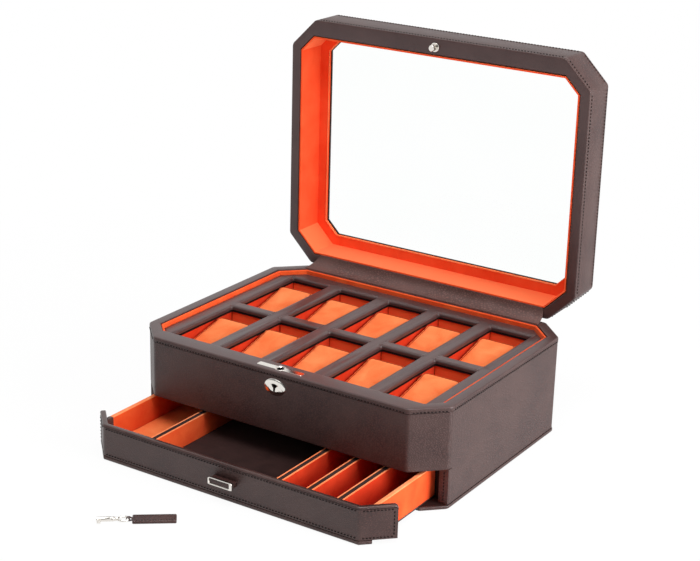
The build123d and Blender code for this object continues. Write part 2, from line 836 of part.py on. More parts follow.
# Drawer front with its two returns round the corners
drawer_bottom = bottom_top + drawer_running_gap
flat_half = width / 2 - corner_leg
return_x = flat_half + drawer_return_leg
return_y = front_face + drawer_return_leg
return_step = drawer_facing / sqrt(2)
inner_flat_half = flat_half - drawer_facing * (sqrt(2) - 1)
box_front = front_face + drawer_facing
with BuildPart() as drawer_front:
    with BuildSketch(drawer_plane(drawer_bottom)) as front_plan:
        with BuildLine():
            Polyline(
                (-return_x, return_y),
                (-flat_half, front_face),
                (flat_half, front_face),
                (return_x, return_y),
                (return_x - return_step, return_y + return_step),
                (inner_flat_half, box_front),
                (-inner_flat_half, box_front),
                (return_step - return_x, return_y + return_step),
                close=True,
            )
        make_face()
        fillet(front_plan.vertices().group_by(Axis.Y)[1], inner_edge_round)
        fillet(front_plan.vertices().group_by(Axis.Y)[0], corner_round)
    extrude(amount=shelf_bottom - drawer_front_top_gap - drawer_bottom)
    fillet(drawer_front.edges().filter_by(Axis.Z).sort_by(Axis.Y)[-4:], edge_round)
    fillet(drawer_front.faces().sort_by(Axis.Z)[-1].edges().sort_by(Axis.Y)[0], edge_round)
    fillet(drawer_front.faces().sort_by(Axis.Z)[0].edges().sort_by(Axis.Y)[0], inner_edge_round)
write(drawer_front, "drawer_front")

# Drawer bottom with the skirt that completes the bottom board
box_half = width / 2 - wall - guide_width - drawer_side_gap
bay_half = box_half - drawer_side_thickness
box_rear = rear_face - drawer_rear_gap
bay_rear = box_rear - drawer_side_thickness
bay_floor = drawer_bottom + drawer_base_thickness
bay_length = bay_rear - box_front
side_top = drawer_bottom + drawer_side_height


def trim_to_front():
    """Trim the piece being made to the space inside the drawer front and its returns."""
    extrude(drawer_plane() * octagon(drawer_facing), amount=base_height, mode=Mode.INTERSECT)


with BuildPart(drawer_plane()) as drawer_base:
    with Locations((0, box_front, drawer_bottom)):
        Box(
            2 * bay_half,
            bay_length,
            drawer_base_thickness,
            align=(Align.CENTER, Align.MIN, Align.MIN),
        )
    trim_to_front()
    with BuildSketch(drawer_plane(skirt_floor_gap)):
        add(octagon(0, rounding=corner_round))
        with Locations((0, front_face)):
            Rectangle(width, 2 * skirt_depth, mode=Mode.INTERSECT)
    extrude(amount=drawer_bottom - skirt_floor_gap)
write(drawer_base, "drawer_base")

# Drawer sides and back
with BuildPart(drawer_plane()) as drawer_side_right:
    with Locations((bay_half, box_front, drawer_bottom)):
        Box(
            drawer_side_thickness,
            box_rear - box_front,
            drawer_side_height,
            align=(Align.MIN, Align.MIN, Align.MIN),
        )
    trim_to_front()
    front_end = drawer_side_right.faces().sort_by(Axis.Y)[0]
    fillet(front_end.edges().sort_by(Axis.Z)[-1], drawer_side_corner)
write(drawer_side_right, "drawer_side_right")

with BuildPart() as drawer_side_left:
    mirror(drawer_side_right.part, about=Plane.YZ)
write(drawer_side_left, "drawer_side_left")

with BuildPart(drawer_plane()) as drawer_back:
    with Locations((0, bay_rear, drawer_bottom)):
        Box(
            2 * bay_half,
            drawer_side_thickness,
            drawer_side_height,
            align=(Align.CENTER, Align.MIN, Align.MIN),
        )
write(drawer_back, "drawer_back")

# Dividers: one beside the wide left bay, three beside the narrow right bays
divider_places = [left_bay_width - bay_half + divider_thickness / 2]
for count in range(right_bays, 0, -1):
    divider_places.append(bay_half - count * right_bay_width - (count - 0.5) * divider_thickness)
for number, divider_x in enumerate(divider_places, start=1):
    with BuildPart(drawer_plane()) as divider:
        with Locations((divider_x, box_front, bay_floor)):
            Box(
                divider_thickness,
                bay_length,
                side_top - bay_floor,
                align=(Align.CENTER, Align.MIN, Align.MIN),
            )
    write(divider, f"divider_{number}")


def bay_pad(left, right, thickness):
    """Pad on the floor of one bay, between its two walls."""
    with Locations(((left + right) / 2, box_front + bay_clearance, bay_floor)):
        Box(
            right - left - 2 * bay_clearance,
            bay_length - 2 * bay_clearance,
            thickness,
            align=(Align.CENTER, Align.MIN, Align.MIN),
        )


# Linings of the four narrow bays and the thicker pad of the middle bay
divider_half = divider_thickness / 2
with BuildPart(drawer_plane()) as drawer_floor_lining:
    bay_pad(-bay_half, divider_places[0] - divider_half, bay_lining_thickness)
    for divider_x in divider_places[1:]:
        bay_pad(divider_x + divider_half, divider_x + divider_half + right_bay_width, bay_lining_thickness)
    trim_to_front()
write(drawer_floor_lining, "drawer_floor_lining")

with BuildPart(drawer_plane()) as drawer_centre_pad:
    bay_pad(divider_places[0] + divider_half, divider_places[1] - divider_half, centre_pad_thickness)
    fillet(drawer_centre_pad.faces().sort_by(Axis.Z)[-1].edges(), edge_round)
write(drawer_centre_pad, "drawer_centre_pad")

# Pull: a leather tab whose end is bound by a metal cap
pull_front = front_face - drawer_rest
with BuildPart() as pull_tab:
    with BuildSketch(Plane(origin=(0, pull_front, pull_centre_z), x_dir=(1, 0, 0), z_dir=(0, -1, 0))):
        RectangleRounded(
            pull_width - 2 * pull_cap_wall,
            pull_height - 2 * pull_cap_wall,
            pull_corner - pull_cap_wall,
        )
    extrude(amount=pull_reach - pull_cap_lip)
write(pull_tab, "pull_tab")

cap_rear = pull_front - pull_reach + pull_cap_depth
with BuildPart() as pull_cap:
    with BuildSketch(Plane(origin=(0, cap_rear, pull_centre_z), x_dir=(1, 0, 0), z_dir=(0, -1, 0))):
        RectangleRounded(pull_width, pull_height, pull_corner)
        RectangleRounded(
            pull_width - 2 * pull_cap_wall,
            pull_height - 2 * pull_cap_wall,
            pull_corner - pull_cap_wall,
            mode=Mode.SUBTRACT,
        )
    extrude(amount=pull_cap_depth)
write(pull_cap, "pull_cap")

# Tubular key lying on its barrel, drawn along its own X from the tip
key_plane = Plane((key_x, key_y, 0), x_dir=(cos(radians(key_angle)), sin(radians(key_angle)), 0))
barrel_z = key_barrel / 2
barrel_length = key_length - bow_length + bow_wall / 2
bow_x = key_length - bow_length / 2
with BuildPart(key_plane) as key:
    with Locations((barrel_length / 2, 0, barrel_z)):
        Cylinder(key_barrel / 2, barrel_length, rotation=(0, 90, 0))
    with Locations((bit_length / 2 + bit_setback, 0, barrel_z)):
        Box(bit_length, bit_reach, bit_thickness, align=(Align.CENTER, Align.MAX, Align.CENTER))
    with BuildSketch(key_plane.offset(barrel_z - bow_thickness / 2)):
        with Locations((bow_x, 0)):
            Ellipse(bow_length / 2, bow_width / 2)
            Ellipse(bow_length / 2 - bow_wall, bow_width / 2 - bow_wall, mode=Mode.SUBTRACT)
    extrude(amount=bow_thickness)
    with Locations((key_bore_depth / 2, 0, barrel_z)):
        Cylinder(key_bore / 2, key_bore_depth, rotation=(0, 90, 0), mode=Mode.SUBTRACT)
write(key, "key")

# Thong through the bow: a round stretch in the hole, one strand over and one under the bow
thong_x = key_length - bow_wall - thong_gap - thong_diameter / 2
fob_x = key_length + fob_gap
thong_bottom = barrel_z - bow_thickness / 2 - thong_gap / 2 - thong_thickness
thong_top = barrel_z + bow_thickness / 2 + thong_gap / 2 + thong_thickness
with BuildPart(key_plane) as key_thong:
    with Locations((thong_x, 0, thong_bottom)):
        Cylinder(
            thong_diameter / 2,
            thong_top - thong_bottom,
            align=(Align.CENTER, Align.CENTER, Align.MIN),
        )
        Box(
            fob_x - thong_x,
            thong_diameter,
            thong_thickness,
            align=(Align.MIN, Align.CENTER, Align.MIN),
        )
    with Locations((thong_x, 0, thong_top)):
        Box(
            fob_x - thong_x,
            thong_diameter,
            thong_thickness,
            align=(Align.MIN, Align.CENTER, Align.MAX),
        )
    with Locations((fob_x, 0, thong_bottom)):
        Box(
            thong_thickness,
            thong_diameter,
            thong_top - thong_bottom,
            align=(Align.MAX, Align.CENTER, Align.MIN),
        )
write(key_thong, "key_thong")

with BuildPart(key_plane) as key_fob:
    with Locations((fob_x, 0, 0)):
        Box(fob_length, fob_width, fob_thickness, align=(Align.MIN, Align.CENTER, Align.MIN))
    fillet(key_fob.edges().filter_by(Axis.Z), edge_round)
    fillet(key_fob.faces().sort_by(Axis.Z)[-1].edges(), fob_round)
write(key_fob, "key_fob")
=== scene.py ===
import json
from math import asin, cos, degrees, exp, pi, radians, sin, tan, tau

import bmesh
import bpy
from mathutils import Matrix, Vector, noise
from mathutils.bvhtree import BVHTree


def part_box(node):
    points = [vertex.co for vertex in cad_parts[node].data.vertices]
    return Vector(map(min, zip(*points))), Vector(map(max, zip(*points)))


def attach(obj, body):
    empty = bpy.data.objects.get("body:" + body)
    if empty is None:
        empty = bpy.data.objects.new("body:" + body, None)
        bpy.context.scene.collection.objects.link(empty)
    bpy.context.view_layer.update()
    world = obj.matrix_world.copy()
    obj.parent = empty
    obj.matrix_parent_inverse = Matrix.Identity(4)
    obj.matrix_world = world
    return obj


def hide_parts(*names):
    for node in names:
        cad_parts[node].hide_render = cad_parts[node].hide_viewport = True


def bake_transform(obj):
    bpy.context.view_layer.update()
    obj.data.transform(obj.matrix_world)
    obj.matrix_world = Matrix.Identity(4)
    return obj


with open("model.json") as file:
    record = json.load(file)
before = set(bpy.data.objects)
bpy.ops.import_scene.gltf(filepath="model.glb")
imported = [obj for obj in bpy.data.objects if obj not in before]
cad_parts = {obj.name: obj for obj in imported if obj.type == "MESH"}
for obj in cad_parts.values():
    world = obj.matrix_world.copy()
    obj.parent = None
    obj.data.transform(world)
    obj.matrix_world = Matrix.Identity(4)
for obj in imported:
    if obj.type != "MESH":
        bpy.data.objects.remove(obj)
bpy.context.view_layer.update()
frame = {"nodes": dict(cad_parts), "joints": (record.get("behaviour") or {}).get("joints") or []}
MM = 0.001
UP = Vector((0, 0, 1))
scene = bpy.context.scene


def add_object(name, data):
    """Put data into the scene as an object."""
    added = bpy.data.objects.new(name, data)
    scene.collection.objects.link(added)
    return added


# Camera, fitted to the edges of the box in the photograph
CAMERA_AZIMUTH = 32.622
CAMERA_ELEVATION = 19.652
CAMERA_ROLL = 1.595
CAMERA_PLACE = Vector((821.64, -1292.57, 697.57)) * MM
CAMERA_LENS = 87.02
SENSOR_WIDTH = 36.0


def make_camera():
    """The photograph's camera."""
    azimuth, elevation, roll = (radians(a) for a in (CAMERA_AZIMUTH, CAMERA_ELEVATION, CAMERA_ROLL))
    back = Vector((sin(azimuth) * cos(elevation), -cos(azimuth) * cos(elevation), sin(elevation)))
    right = (-back).cross(UP).normalized()
    up = right.cross(-back)
    rolled_right = right * cos(roll) + up * sin(roll)
    rolled_up = up * cos(roll) - right * sin(roll)
    camera = add_object("camera", bpy.data.cameras.new("camera"))
    turn = Matrix((rolled_right, rolled_up, back)).transposed()
    camera.matrix_world = Matrix.Translation(CAMERA_PLACE) @ turn.to_4x4()
    camera.data.lens = CAMERA_LENS
    camera.data.sensor_width = SENSOR_WIDTH
    camera.data.clip_start = 0.05
    scene.camera = camera


make_camera()

# Sizes of the box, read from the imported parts
HALF_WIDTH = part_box("right_wall")[1].x
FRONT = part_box("front_panel")[0].y
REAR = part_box("back_wall")[1].y
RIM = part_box("right_wall")[1].z
BOARD_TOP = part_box("right_wall")[0].z
LID_BOTTOM = RIM + 0.5 * MM
LID_TOP = LID_BOTTOM + 40 * MM
DRAWER_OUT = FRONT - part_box("drawer_front")[0].y
LID_JOINT = next(joint for joint in frame["joints"] if joint["name"] == "lid_hinge")
HINGE = Vector(LID_JOINT["pos_m"])
CORNER_LEG = 28 * MM
CORNER_ROUND = 6 * MM
WALL = 10 * MM
FRONT_EXTRA = 6 * MM
WINDOW_INSET = 24.3 * MM
WINDOW_EXTRA = 1.7 * MM
HINGE_PLACE = 105 * MM
HINGE_CUT = 20.3 * MM

# The wells: middles of their rows and columns, and half of each opening
ROW_PLACES = (52.975 * MM, -55.475 * MM)
COLUMN_PLACES = [column * 59.52 * MM for column in range(-2, 3)]
OPENING_HALF_X = 22.16 * MM
OPENING_HALF_Y = 47.725 * MM
WELLS = [(x, y) for y in ROW_PLACES for x in COLUMN_PLACES]

# Leather work
SKIN_PROUD = 0.35 * MM
SKIN_RISE = 0.2 * MM
FOLD_DEPTH = 5.0 * MM
STITCH_PITCH = 3.3 * MM
STITCH_LENGTH = 2.4 * MM
STITCH_SLANT = radians(5)
THREAD_RADIUS = 0.5 * MM


def in_place(point):
    """A point of the casing stays where it is."""
    return Vector(point)


def in_lid(point):
    """A point given as for the shut lid, on the lid as it stands open."""
    x, y, z = point
    return Vector((x, HINGE.y + z - HINGE.z, HINGE.z + HINGE.y - y))


def in_drawer(point):
    """A point given as for the shut drawer, on the drawer as it stands pulled out."""
    x, y, z = point
    return Vector((x, y - DRAWER_OUT, z))


def mm(base, *rows):
    """Points given in millimetres from a base point."""
    return [tuple(start + value * MM for start, value in zip(base, row)) for row in rows]


def linear(hex_colour):
    """An sRGB hex colour as linear RGBA."""
    shares = [int(hex_colour[i:i + 2], 16) / 255 for i in (1, 3, 5)]
    return (*(c / 12.92 if c <= 0.04045 else ((c + 0.055) / 1.055) ** 2.4 for c in shares), 1.0)


def add_node(tree, kind, settings=None, links=None, output=0):
    """Add a node of a kind, set its sockets and options, link its inputs, and give one of its outputs, or all."""
    node = tree.nodes.new("ShaderNode" + kind)
    for key, value in (settings or {}).items():
        if isinstance(key, int) or key in node.inputs:
            node.inputs[key].default_value = value
        else:
            setattr(node, key, value)
    for key, source in (links or {}).items():
        tree.links.new(source, node.inputs[key])
    return node.outputs if output is None else node.outputs[output]


def new_material(name):
    """An empty material with its tree, and the mesh's own coordinates in metres to draw patterns by."""
    material = bpy.data.materials.new(name)
    material.use_nodes = True
    tree = material.node_tree
    tree.nodes.clear()
    return material, tree, {"Vector": add_node(tree, "TexCoord", output="Object")}


def shade(tree, settings, links, relief=None, strength=0.0, depth=0.0):
    """End a material in its shader, the surface raised by a relief."""
    if relief is not None:
        raised = add_node(tree, "Bump", {"Strength": strength, "Distance": depth}, {"Height": relief})
        links = {**links, "Normal": raised}
    surface = add_node(tree, "BsdfPrincipled", settings, links)
    add_node(tree, "OutputMaterial", links={"Surface": surface}, output=None)


def per_metre(size_mm):
    """Scale of a pattern whose cells measure that many millimetres."""
    return 1 / (size_mm * MM)


def mix_colour(tree, factor, first, second):
    """Colour between two hex colours, or sockets, by a factor."""
    colours = {6: first, 7: second}
    flat = {socket: linear(colour) for socket, colour in colours.items() if isinstance(colour, str)}
    linked = {socket: colour for socket, colour in colours.items() if socket not in flat}
    return add_node(tree, "Mix", {"data_type": "RGBA", **flat}, {0: factor, **linked}, output=2)


def grained_leather(name, valley, hill, sheen_patch, grain_mm, grain_depth_mm, roughness):
    """Coated calf leather with an embossed grain: small flat pebbles parted by creases, which the valley colour
    darkens as painted shade.
    """
    material, tree, place = new_material(name)
    drawn = add_node(tree, "Mapping", {"Scale": (0.75, 0.75, 1.3)}, place)
    cells = {"feature": "DISTANCE_TO_EDGE", "Scale": per_metre(grain_mm), "Randomness": 1.0}
    pebbles = add_node(tree, "TexVoronoi", cells, {"Vector": drawn})
    domed = {"interpolation_type": "SMOOTHSTEP", "From Min": 0.0, "From Max": 0.35}
    rounded = add_node(tree, "MapRange", domed, {"Value": pebbles})
    pits = {"Scale": per_metre(grain_mm * 0.45), "Detail": 3.0, "Roughness": 0.6}
    pores = add_node(tree, "TexNoise", pits, place)
    height = add_node(tree, "Math", {"operation": "MULTIPLY_ADD", 1: 0.6}, {0: pores, 2: rounded})
    cloudy = add_node(tree, "TexNoise", {"Scale": per_metre(38), "Detail": 4.0, "Roughness": 0.55}, place)
    patches = add_node(tree, "MapRange", {"From Min": 0.35, "From Max": 0.7}, {"Value": cloudy})
    # Painted shade: the creases take the darker valley colour, on top of the shading that the bump gives.
    crease_shaded = mix_colour(tree, rounded, valley, hill)
    worn = {"To Min": roughness - 0.05, "To Max": roughness + 0.09}
    look = {"Base Color": mix_colour(tree, patches, crease_shaded, sheen_patch),
            "Roughness": add_node(tree, "MapRange", worn, {"Value": cloudy})}
    shade(tree, {"Specular IOR Level": 0.52}, look, height, 0.6, grain_depth_mm * MM)
    return material


def brushed_microfibre(name, shadow, lit, nap_mm, lit_side_colour=None, axis="Y"):
    """Sueded microfibre cloth: matt, with a short nap, lighter and darker in soft patches. lit_side_colour is
    painted light: the lighter colour of the walls that face along the axis, as if more light fell on them."""
    material, tree, place = new_material(name)
    strokes = {"Scale": per_metre(22), "Detail": 3.0, "Roughness": 0.5, "Distortion": 0.6}
    stroked = add_node(tree, "TexNoise", strokes, place)
    fibres = add_node(tree, "TexNoise", {"Scale": per_metre(nap_mm), "Detail": 4.0, "Roughness": 0.7}, place)
    nap = add_node(tree, "Math", {"operation": "MULTIPLY_ADD", 1: 0.45}, {0: fibres, 2: stroked})
    share = add_node(tree, "MapRange", {"From Min": 0.5, "From Max": 0.95}, {"Value": nap})
    cloth = mix_colour(tree, share, shadow, lit)
    if lit_side_colour:
        # Painted light: walls that face along the axis are brightened by colour, not by the lamps.
        normal = add_node(tree, "TexCoord", output="Normal")
        facing = add_node(tree, "SeparateXYZ", links={0: normal}, output=axis)
        square = add_node(tree, "Math", {"operation": "ABSOLUTE"}, {0: facing})
        lit_share = add_node(tree, "MapRange", {"From Min": 0.35, "From Max": 0.75}, {"Value": square})
        cloth = mix_colour(tree, lit_share, cloth, lit_side_colour)
    tint = linear("#ffb48a" if name.startswith("orange") else "#8a7a74")
    matt = {"Roughness": 0.95, "Specular IOR Level": 0.15, "Sheen Weight": 0.25, "Sheen Roughness": 0.45,
            "Sheen Tint": tint}
    shade(tree, matt, {"Base Color": cloth}, fibres, 0.35, 0.08 * MM)
    return material


def plated_metal(name, colour, dull, roughness, stretch, line_mm):
    """Metal with the fine marks of its polishing, which stretch its reflections a little along X."""
    material, tree, place = new_material(name)
    squeezed = add_node(tree, "Mapping", {"Scale": (1 / stretch, 1.0, 1.0)}, place)
    scratches = {"Scale": per_metre(line_mm), "Detail": 4.0, "Roughness": 0.65}
    marks = add_node(tree, "TexNoise", scratches, {"Vector": squeezed})
    gloss = add_node(tree, "MapRange", {"To Min": roughness * 0.7, "To Max": roughness * 1.5}, {"Value": marks})
    look = {"Base Color": mix_colour(tree, marks, dull, colour), "Roughness": gloss}
    shade(tree, {"Metallic": 1.0}, look, marks, 0.12, 0.02 * MM)
    return material


def fibrous(name, dark, light, pattern, surface, strength, depth):
    """Fibres darker in the dips between them, drawn by one fine noise."""
    material, tree, place = new_material(name)
    fibres = add_node(tree, "TexNoise", pattern, place)
    shade(tree, surface, {"Base Color": mix_colour(tree, fibres, dark, light)}, fibres, strength, depth)
    return material


def twisted_thread(name, dark, light):
    """Waxed polyester thread, whose two twisted plies catch the light in turn."""
    pattern = {"Scale": per_metre(0.5), "Detail": 2.0}
    return fibrous(name, dark, light, pattern, {"Roughness": 0.75, "Specular IOR Level": 0.2}, 0.5, 0.05 * MM)


def pressed_fibre(name, dark, light, fibre_mm, depth_mm):
    """Felt, fibreboard or a near-black line of painted shade: matted fibres, matt and uneven."""
    pattern = {"Scale": per_metre(fibre_mm), "Detail": 5.0, "Roughness": 0.75}
    return fibrous(name, dark, light, pattern, {"Roughness": 0.97, "Specular IOR Level": 0.1}, 0.7, depth_mm * MM)


def float_glass():
    """Clear float glass, polished, with the faint green of its iron. A pane bends no view that crosses both of its
    faces, so its index is near that of air."""
    material, tree, place = new_material("float_glass")
    ream = add_node(tree, "TexNoise", {"Scale": per_metre(90), "Detail": 1.0}, place)
    clear = {"Transmission Weight": 1.0, "IOR": 1.06, "Roughness": 0.0, "Specular IOR Level": 0.006}
    shade(tree, clear, {"Base Color": mix_colour(tree, ream, "#fcfefd", "#ffffff")})
    return material


# Leather as embossed on the walls, rubbed smooth on folds, left coarse over the hinges, and pulled nearly flat and a
# little glossy where it is stretched over foam
LEATHER = grained_leather("embossed_brown_leather", "#2b1412", "#492a26", "#452d29", 1.9, 0.26, 0.42)
BURNISHED = grained_leather("burnished_leather_fold", "#2c1513", "#452925", "#4b322e", 1.4, 0.04, 0.2)
STRIP_LEATHER = grained_leather("coarse_brown_leather", "#4a302b", "#6a4a44", "#614540", 2.4, 0.14, 0.58)
SOFT_LEATHER = grained_leather("stretched_brown_leather", "#392524", "#49312f", "#4b3533", 1.2, 0.05, 0.31)
# Microfibre, its nap drawn as random lighter and darker patches. The orange is one cloth: the lining, lid and well
# copies are darker as painted shade, the wells darkest, and those copies with a lighter colour for walls facing
# along their axis carry painted light
SUEDE_BROWN = brushed_microfibre("brown_microfibre", "#241312", "#331f1d", 0.9)
SUEDE_ORANGE = brushed_microfibre("orange_microfibre", "#f06c36", "#f98d54", 0.9)
SHADED_LINING_ORANGE = brushed_microfibre("orange_lining_cloth_painted_shade", "#e6471c", "#f2612e", 0.9)
SHADED_LID_ORANGE = brushed_microfibre("orange_lid_cloth_painted_shade", "#f24a20", "#fa5c30", 0.9, "#ff7848", "Z")
DEEP_SHADED_WELL_ORANGE = brushed_microfibre("orange_well_cloth_painted_shade", "#cc3010", "#dc3e1c", 0.9, "#ff6434")
# Painted highlight: the piping is the same orange cloth made lighter, for the light along its rounded edges.
HIGHLIGHT_ORANGE_PIPING = brushed_microfibre("orange_piping_painted_highlight", "#ff7f48", "#ff9a68", 0.5)
# Near-black: the thread's own dark brown, made darker still as painted shade of the needle holes it sinks into.
THREAD = twisted_thread("waxed_brown_thread", "#080404", "#180d0c")
# Dark orange: the cushions' seam thread, darkened as painted shade of the grooves it lies in, and the lines down the
# wells' corners, which are painted shade only.
SEAM_THREAD_AND_SHADE_LINE = twisted_thread("orange_seam_thread_and_painted_shade", "#8c2c08", "#b84212")
# Painted shade: a nearly black matt line for the thin shadows under the folds of the rim and the drawer's front,
# under the tray's bars and in the joint above the base
NEAR_BLACK_SHADE = pressed_fibre("painted_shade_line", "#0c0605", "#1a0f0e", 0.8, 0.05)
NICKEL = plated_metal("polished_nickel", "#f0ece6", "#d6d0c8", 0.09, 4.0, 0.9)
STEEL = plated_metal("brushed_steel", "#b9b7b4", "#8f8c89", 0.3, 12.0, 0.5)
# Near-black steel: painted shade inside the keyhole, and a painted dark reflection along the key's barrel.
SHADE_DARK_STEEL = plated_metal("steel_painted_dark", "#2e2a28", "#1a1716", 0.5, 6.0, 0.5)
FELT = pressed_fibre("pressed_wool_felt", "#1d1a1a", "#34302f", 0.7, 0.25)
BOARD = pressed_fibre("stained_fibreboard", "#1d1110", "#2f1f1c", 0.9, 0.08)
GLASS = float_glass()

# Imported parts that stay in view, by what covers them
COVERED = {
    LEATHER: ["left_wall", "right_wall", "back_wall", "front_panel", "front_rail", "lid_walls", "lid_top_frame"],
    SHADED_LINING_ORANGE: ["rim_liner", "drawer_side_left", "drawer_side_right", "drawer_back", "divider_1"],
    SHADED_LID_ORANGE: ["lid_liner", "lid_flange"],
    DEEP_SHADED_WELL_ORANGE: ["tray_lining", "well_floor", "cross_partition", "divider_2", "divider_3", "divider_4",
                  *(f"column_partition_{number}" for number in range(1, 5))],
    BOARD: ["mid_shelf", "drawer_guides", "bottom_board"],
    NICKEL: ["lock_plate", "escutcheon", "striker", "pull_cap", "key"],
    STEEL: ["lock_case", "lock_core", "lock_bolt", "hinge_base_leaves", "hinge_lid_leaves", "hinge_pins"],
    GLASS: ["lid_glass"],
}
for covering, covered_names in COVERED.items():
    for covered_name in covered_names:
        covered = frame["nodes"][covered_name]
        covered.data.materials.clear()
        covered.data.materials.append(covering)


def make_piece(name, mesh, material, body, sharp=35, extra_materials=(), stands_for=None):
    """Turn a bmesh into a piece that rides on a body, shaded smooth with its sharp edges kept."""
    bmesh.ops.recalc_face_normals(mesh, faces=mesh.faces)
    for edge in mesh.edges:
        edge.smooth = len(edge.link_faces) == 2 and edge.calc_face_angle() < radians(sharp)
    for face in mesh.faces:
        face.smooth = True
    data = bpy.data.meshes.new(name)
    mesh.to_mesh(data)
    mesh.free()
    piece = add_object(name, data)
    for each in (material, *extra_materials):
        data.materials.append(each)
    if body:
        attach(piece, body)
    if stands_for:
        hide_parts(stands_for)
    return piece


def baked(piece):
    """Replace a piece's mesh by what its modifiers make of it."""
    data = bpy.data.meshes.new_from_object(piece.evaluated_get(bpy.context.evaluated_depsgraph_get()))
    piece.modifiers.clear()
    piece.data = data


def outline(corners, inset, rounding, extra=0.0, closed=True, spacing=8 * MM, steps=4):
    """Points along straight edges moved to their left by inset, and the first edge by extra more, with rounded
    corners. Only the corners set how many points there are, so outlines with different insets can be joined."""
    points = [Vector(corner) for corner in corners]
    count = len(points)
    lines = []
    for index in range(count if closed else count - 1):
        start, end = points[index], points[(index + 1) % count]
        along = (end - start).normalized()
        shift = Vector((-along.y, along.x)) * (inset + (extra if index == 0 else 0.0))
        lines.append((start + shift, end + shift, along, max(1, round((end - start).length / spacing))))
    arcs = []
    for index in range(count):
        if not closed and index in (0, count - 1):
            arcs.append([lines[0][0] if index == 0 else lines[-1][1]])
            continue
        start, _, before, _ = lines[index - 1]
        other, _, after, _ = lines[index]
        corner = start + before * ((other - start).cross(after) / before.cross(after))
        turn = before.angle_signed(after) * -1
        radius = max(rounding - inset, 0.4 * MM)
        reach = radius * tan(abs(turn) / 2)
        side = 1 if turn > 0 else -1
        centre = corner - before * reach + Vector((-before.y, before.x)) * radius * side
        arm = corner - before * reach - centre
        arcs.append([centre + Matrix.Rotation(turn * step / steps, 2) @ arm for step in range(steps + 1)])
    course = []
    for index, (_, _, _, parts) in enumerate(lines):
        start, end = arcs[index][-1], arcs[(index + 1) % count][0]
        if index == 0 or closed:
            course += arcs[index]
        course += [start.lerp(end, part / parts) for part in range(1, parts)]
        if not closed:
            course += arcs[index + 1]
    return course


def follow(course, profile, rounding=CORNER_ROUND, place=in_place, extra_at=lambda inset: 0.0, **options):
    """One loop of points along a course for each (inset, height) of a profile."""
    return [
        [place((*point, height)) for point in outline(course, inset, rounding, extra_at(inset), **options)]
        for inset, height in profile
    ]


def sweep(mesh, loops, closed=True, tube=True, caps=False):
    """Join loops of equally many points by faces. closed joins each loop's ends, tube the last loop to the first."""
    rows = [[mesh.verts.new(point) for point in loop] for loop in loops]
    pairs = list(zip(rows, rows[1:])) + ([(rows[-1], rows[0])] if tube else [])
    count = len(rows[0])
    for low, high in pairs:
        for index in range(count if closed else count - 1):
            after = (index + 1) % count
            mesh.faces.new((low[index], low[after], high[after], high[index]))
    if caps:
        mesh.faces.new([row[0] for row in rows])
        mesh.faces.new([row[-1] for row in rows])
    return rows


def solid(mesh, loops):
    """Join closed loops and close the first and the last."""
    rows = sweep(mesh, loops, tube=False)
    mesh.faces.new(rows[0])
    mesh.faces.new(rows[-1])


def border(mesh, row):
    """Edges between the points of a closed row."""
    return [mesh.edges.get((row[i], row[(i + 1) % len(row)])) for i in range(len(row))]


def fill(mesh, edges):
    """Close the face between borders, the inner ones as holes."""
    bmesh.ops.triangle_fill(mesh, use_beauty=True, use_dissolve=False, edges=edges)


def circle(radius, sides, centre=(0.0, 0.0)):
    """Points round a circle."""
    turns = [tau * side / sides for side in range(sides)]
    return [(centre[0] + radius * cos(turn), centre[1] + radius * sin(turn)) for turn in turns]


def quarter(centre, radius, start, end, parts=4):
    """Points of an arc in a profile, from one angle to another in degrees."""
    angles = [radians(start + (end - start) * part / parts) for part in range(parts + 1)]
    return [(centre[0] - radius * cos(angle), centre[1] + radius * sin(angle)) for angle in angles]


def rounded_opening(centre, half_x, half_y, radius, steps=8):
    """Points round a rounded rectangle, each with its place within its corner, from 0 to 1, or nothing."""
    straights = 6
    arcs = []
    for side_x, side_y, start in ((1, 1, 0), (-1, 1, 90), (-1, -1, 180), (1, -1, 270)):
        middle = Vector((centre[0] + side_x * (half_x - radius), centre[1] + side_y * (half_y - radius)))
        angles = [radians(start + 90 * step / steps) for step in range(steps + 1)]
        arcs.append([(middle + Vector((cos(a), sin(a))) * radius, step / steps) for step, a in enumerate(angles)])
    points = []
    for arc, after in zip(arcs, arcs[1:] + arcs[:1]):
        last, target = arc[-1][0], after[0][0]
        points += arc + [(last.lerp(target, part / straights), None) for part in range(1, straights)]
    return points


def pad_loops(centre, half_x, half_y, radius, profile):
    """Loops of a rounded block: profile gives how far in from its sides, and how high, each of them lies."""
    loops = []
    for inset, height in profile:
        around = rounded_opening(centre, half_x - inset, half_y - inset, max(radius - inset, 0.2 * MM), 5)
        loops.append([Vector((*point, height)) for point, _ in around])
    return loops


def block(mesh, centre, half_x, half_y, radius, profile, place=in_place):
    """A rounded block by its profile, closed at both ends and put in place."""
    solid(mesh, [[place(point) for point in loop] for loop in pad_loops(centre, half_x, half_y, radius, profile)])


def prism(mesh, points, low, high, place=in_place):
    """A block with any plain outline between two heights."""
    solid(mesh, [[place((*point, height)) for point in points] for height in (low, high)])


def soft_edge(low, high, edge, crown, foot=0.3 * MM):
    """Profile of a pad: a small foot, straight sides and a top that rounds over to a crown."""
    profile = [(foot, low), (0.0, low + foot), (0.0, high - edge)]
    profile += [(edge * (1 - cos(radians(a))), high - edge + edge * sin(radians(a))) for a in (25, 50, 75)]
    profile += [(edge * 1.3, high + crown * 0.15), (edge * 2.5, high + crown * 0.5), (edge * 4.5, high + crown)]
    return profile


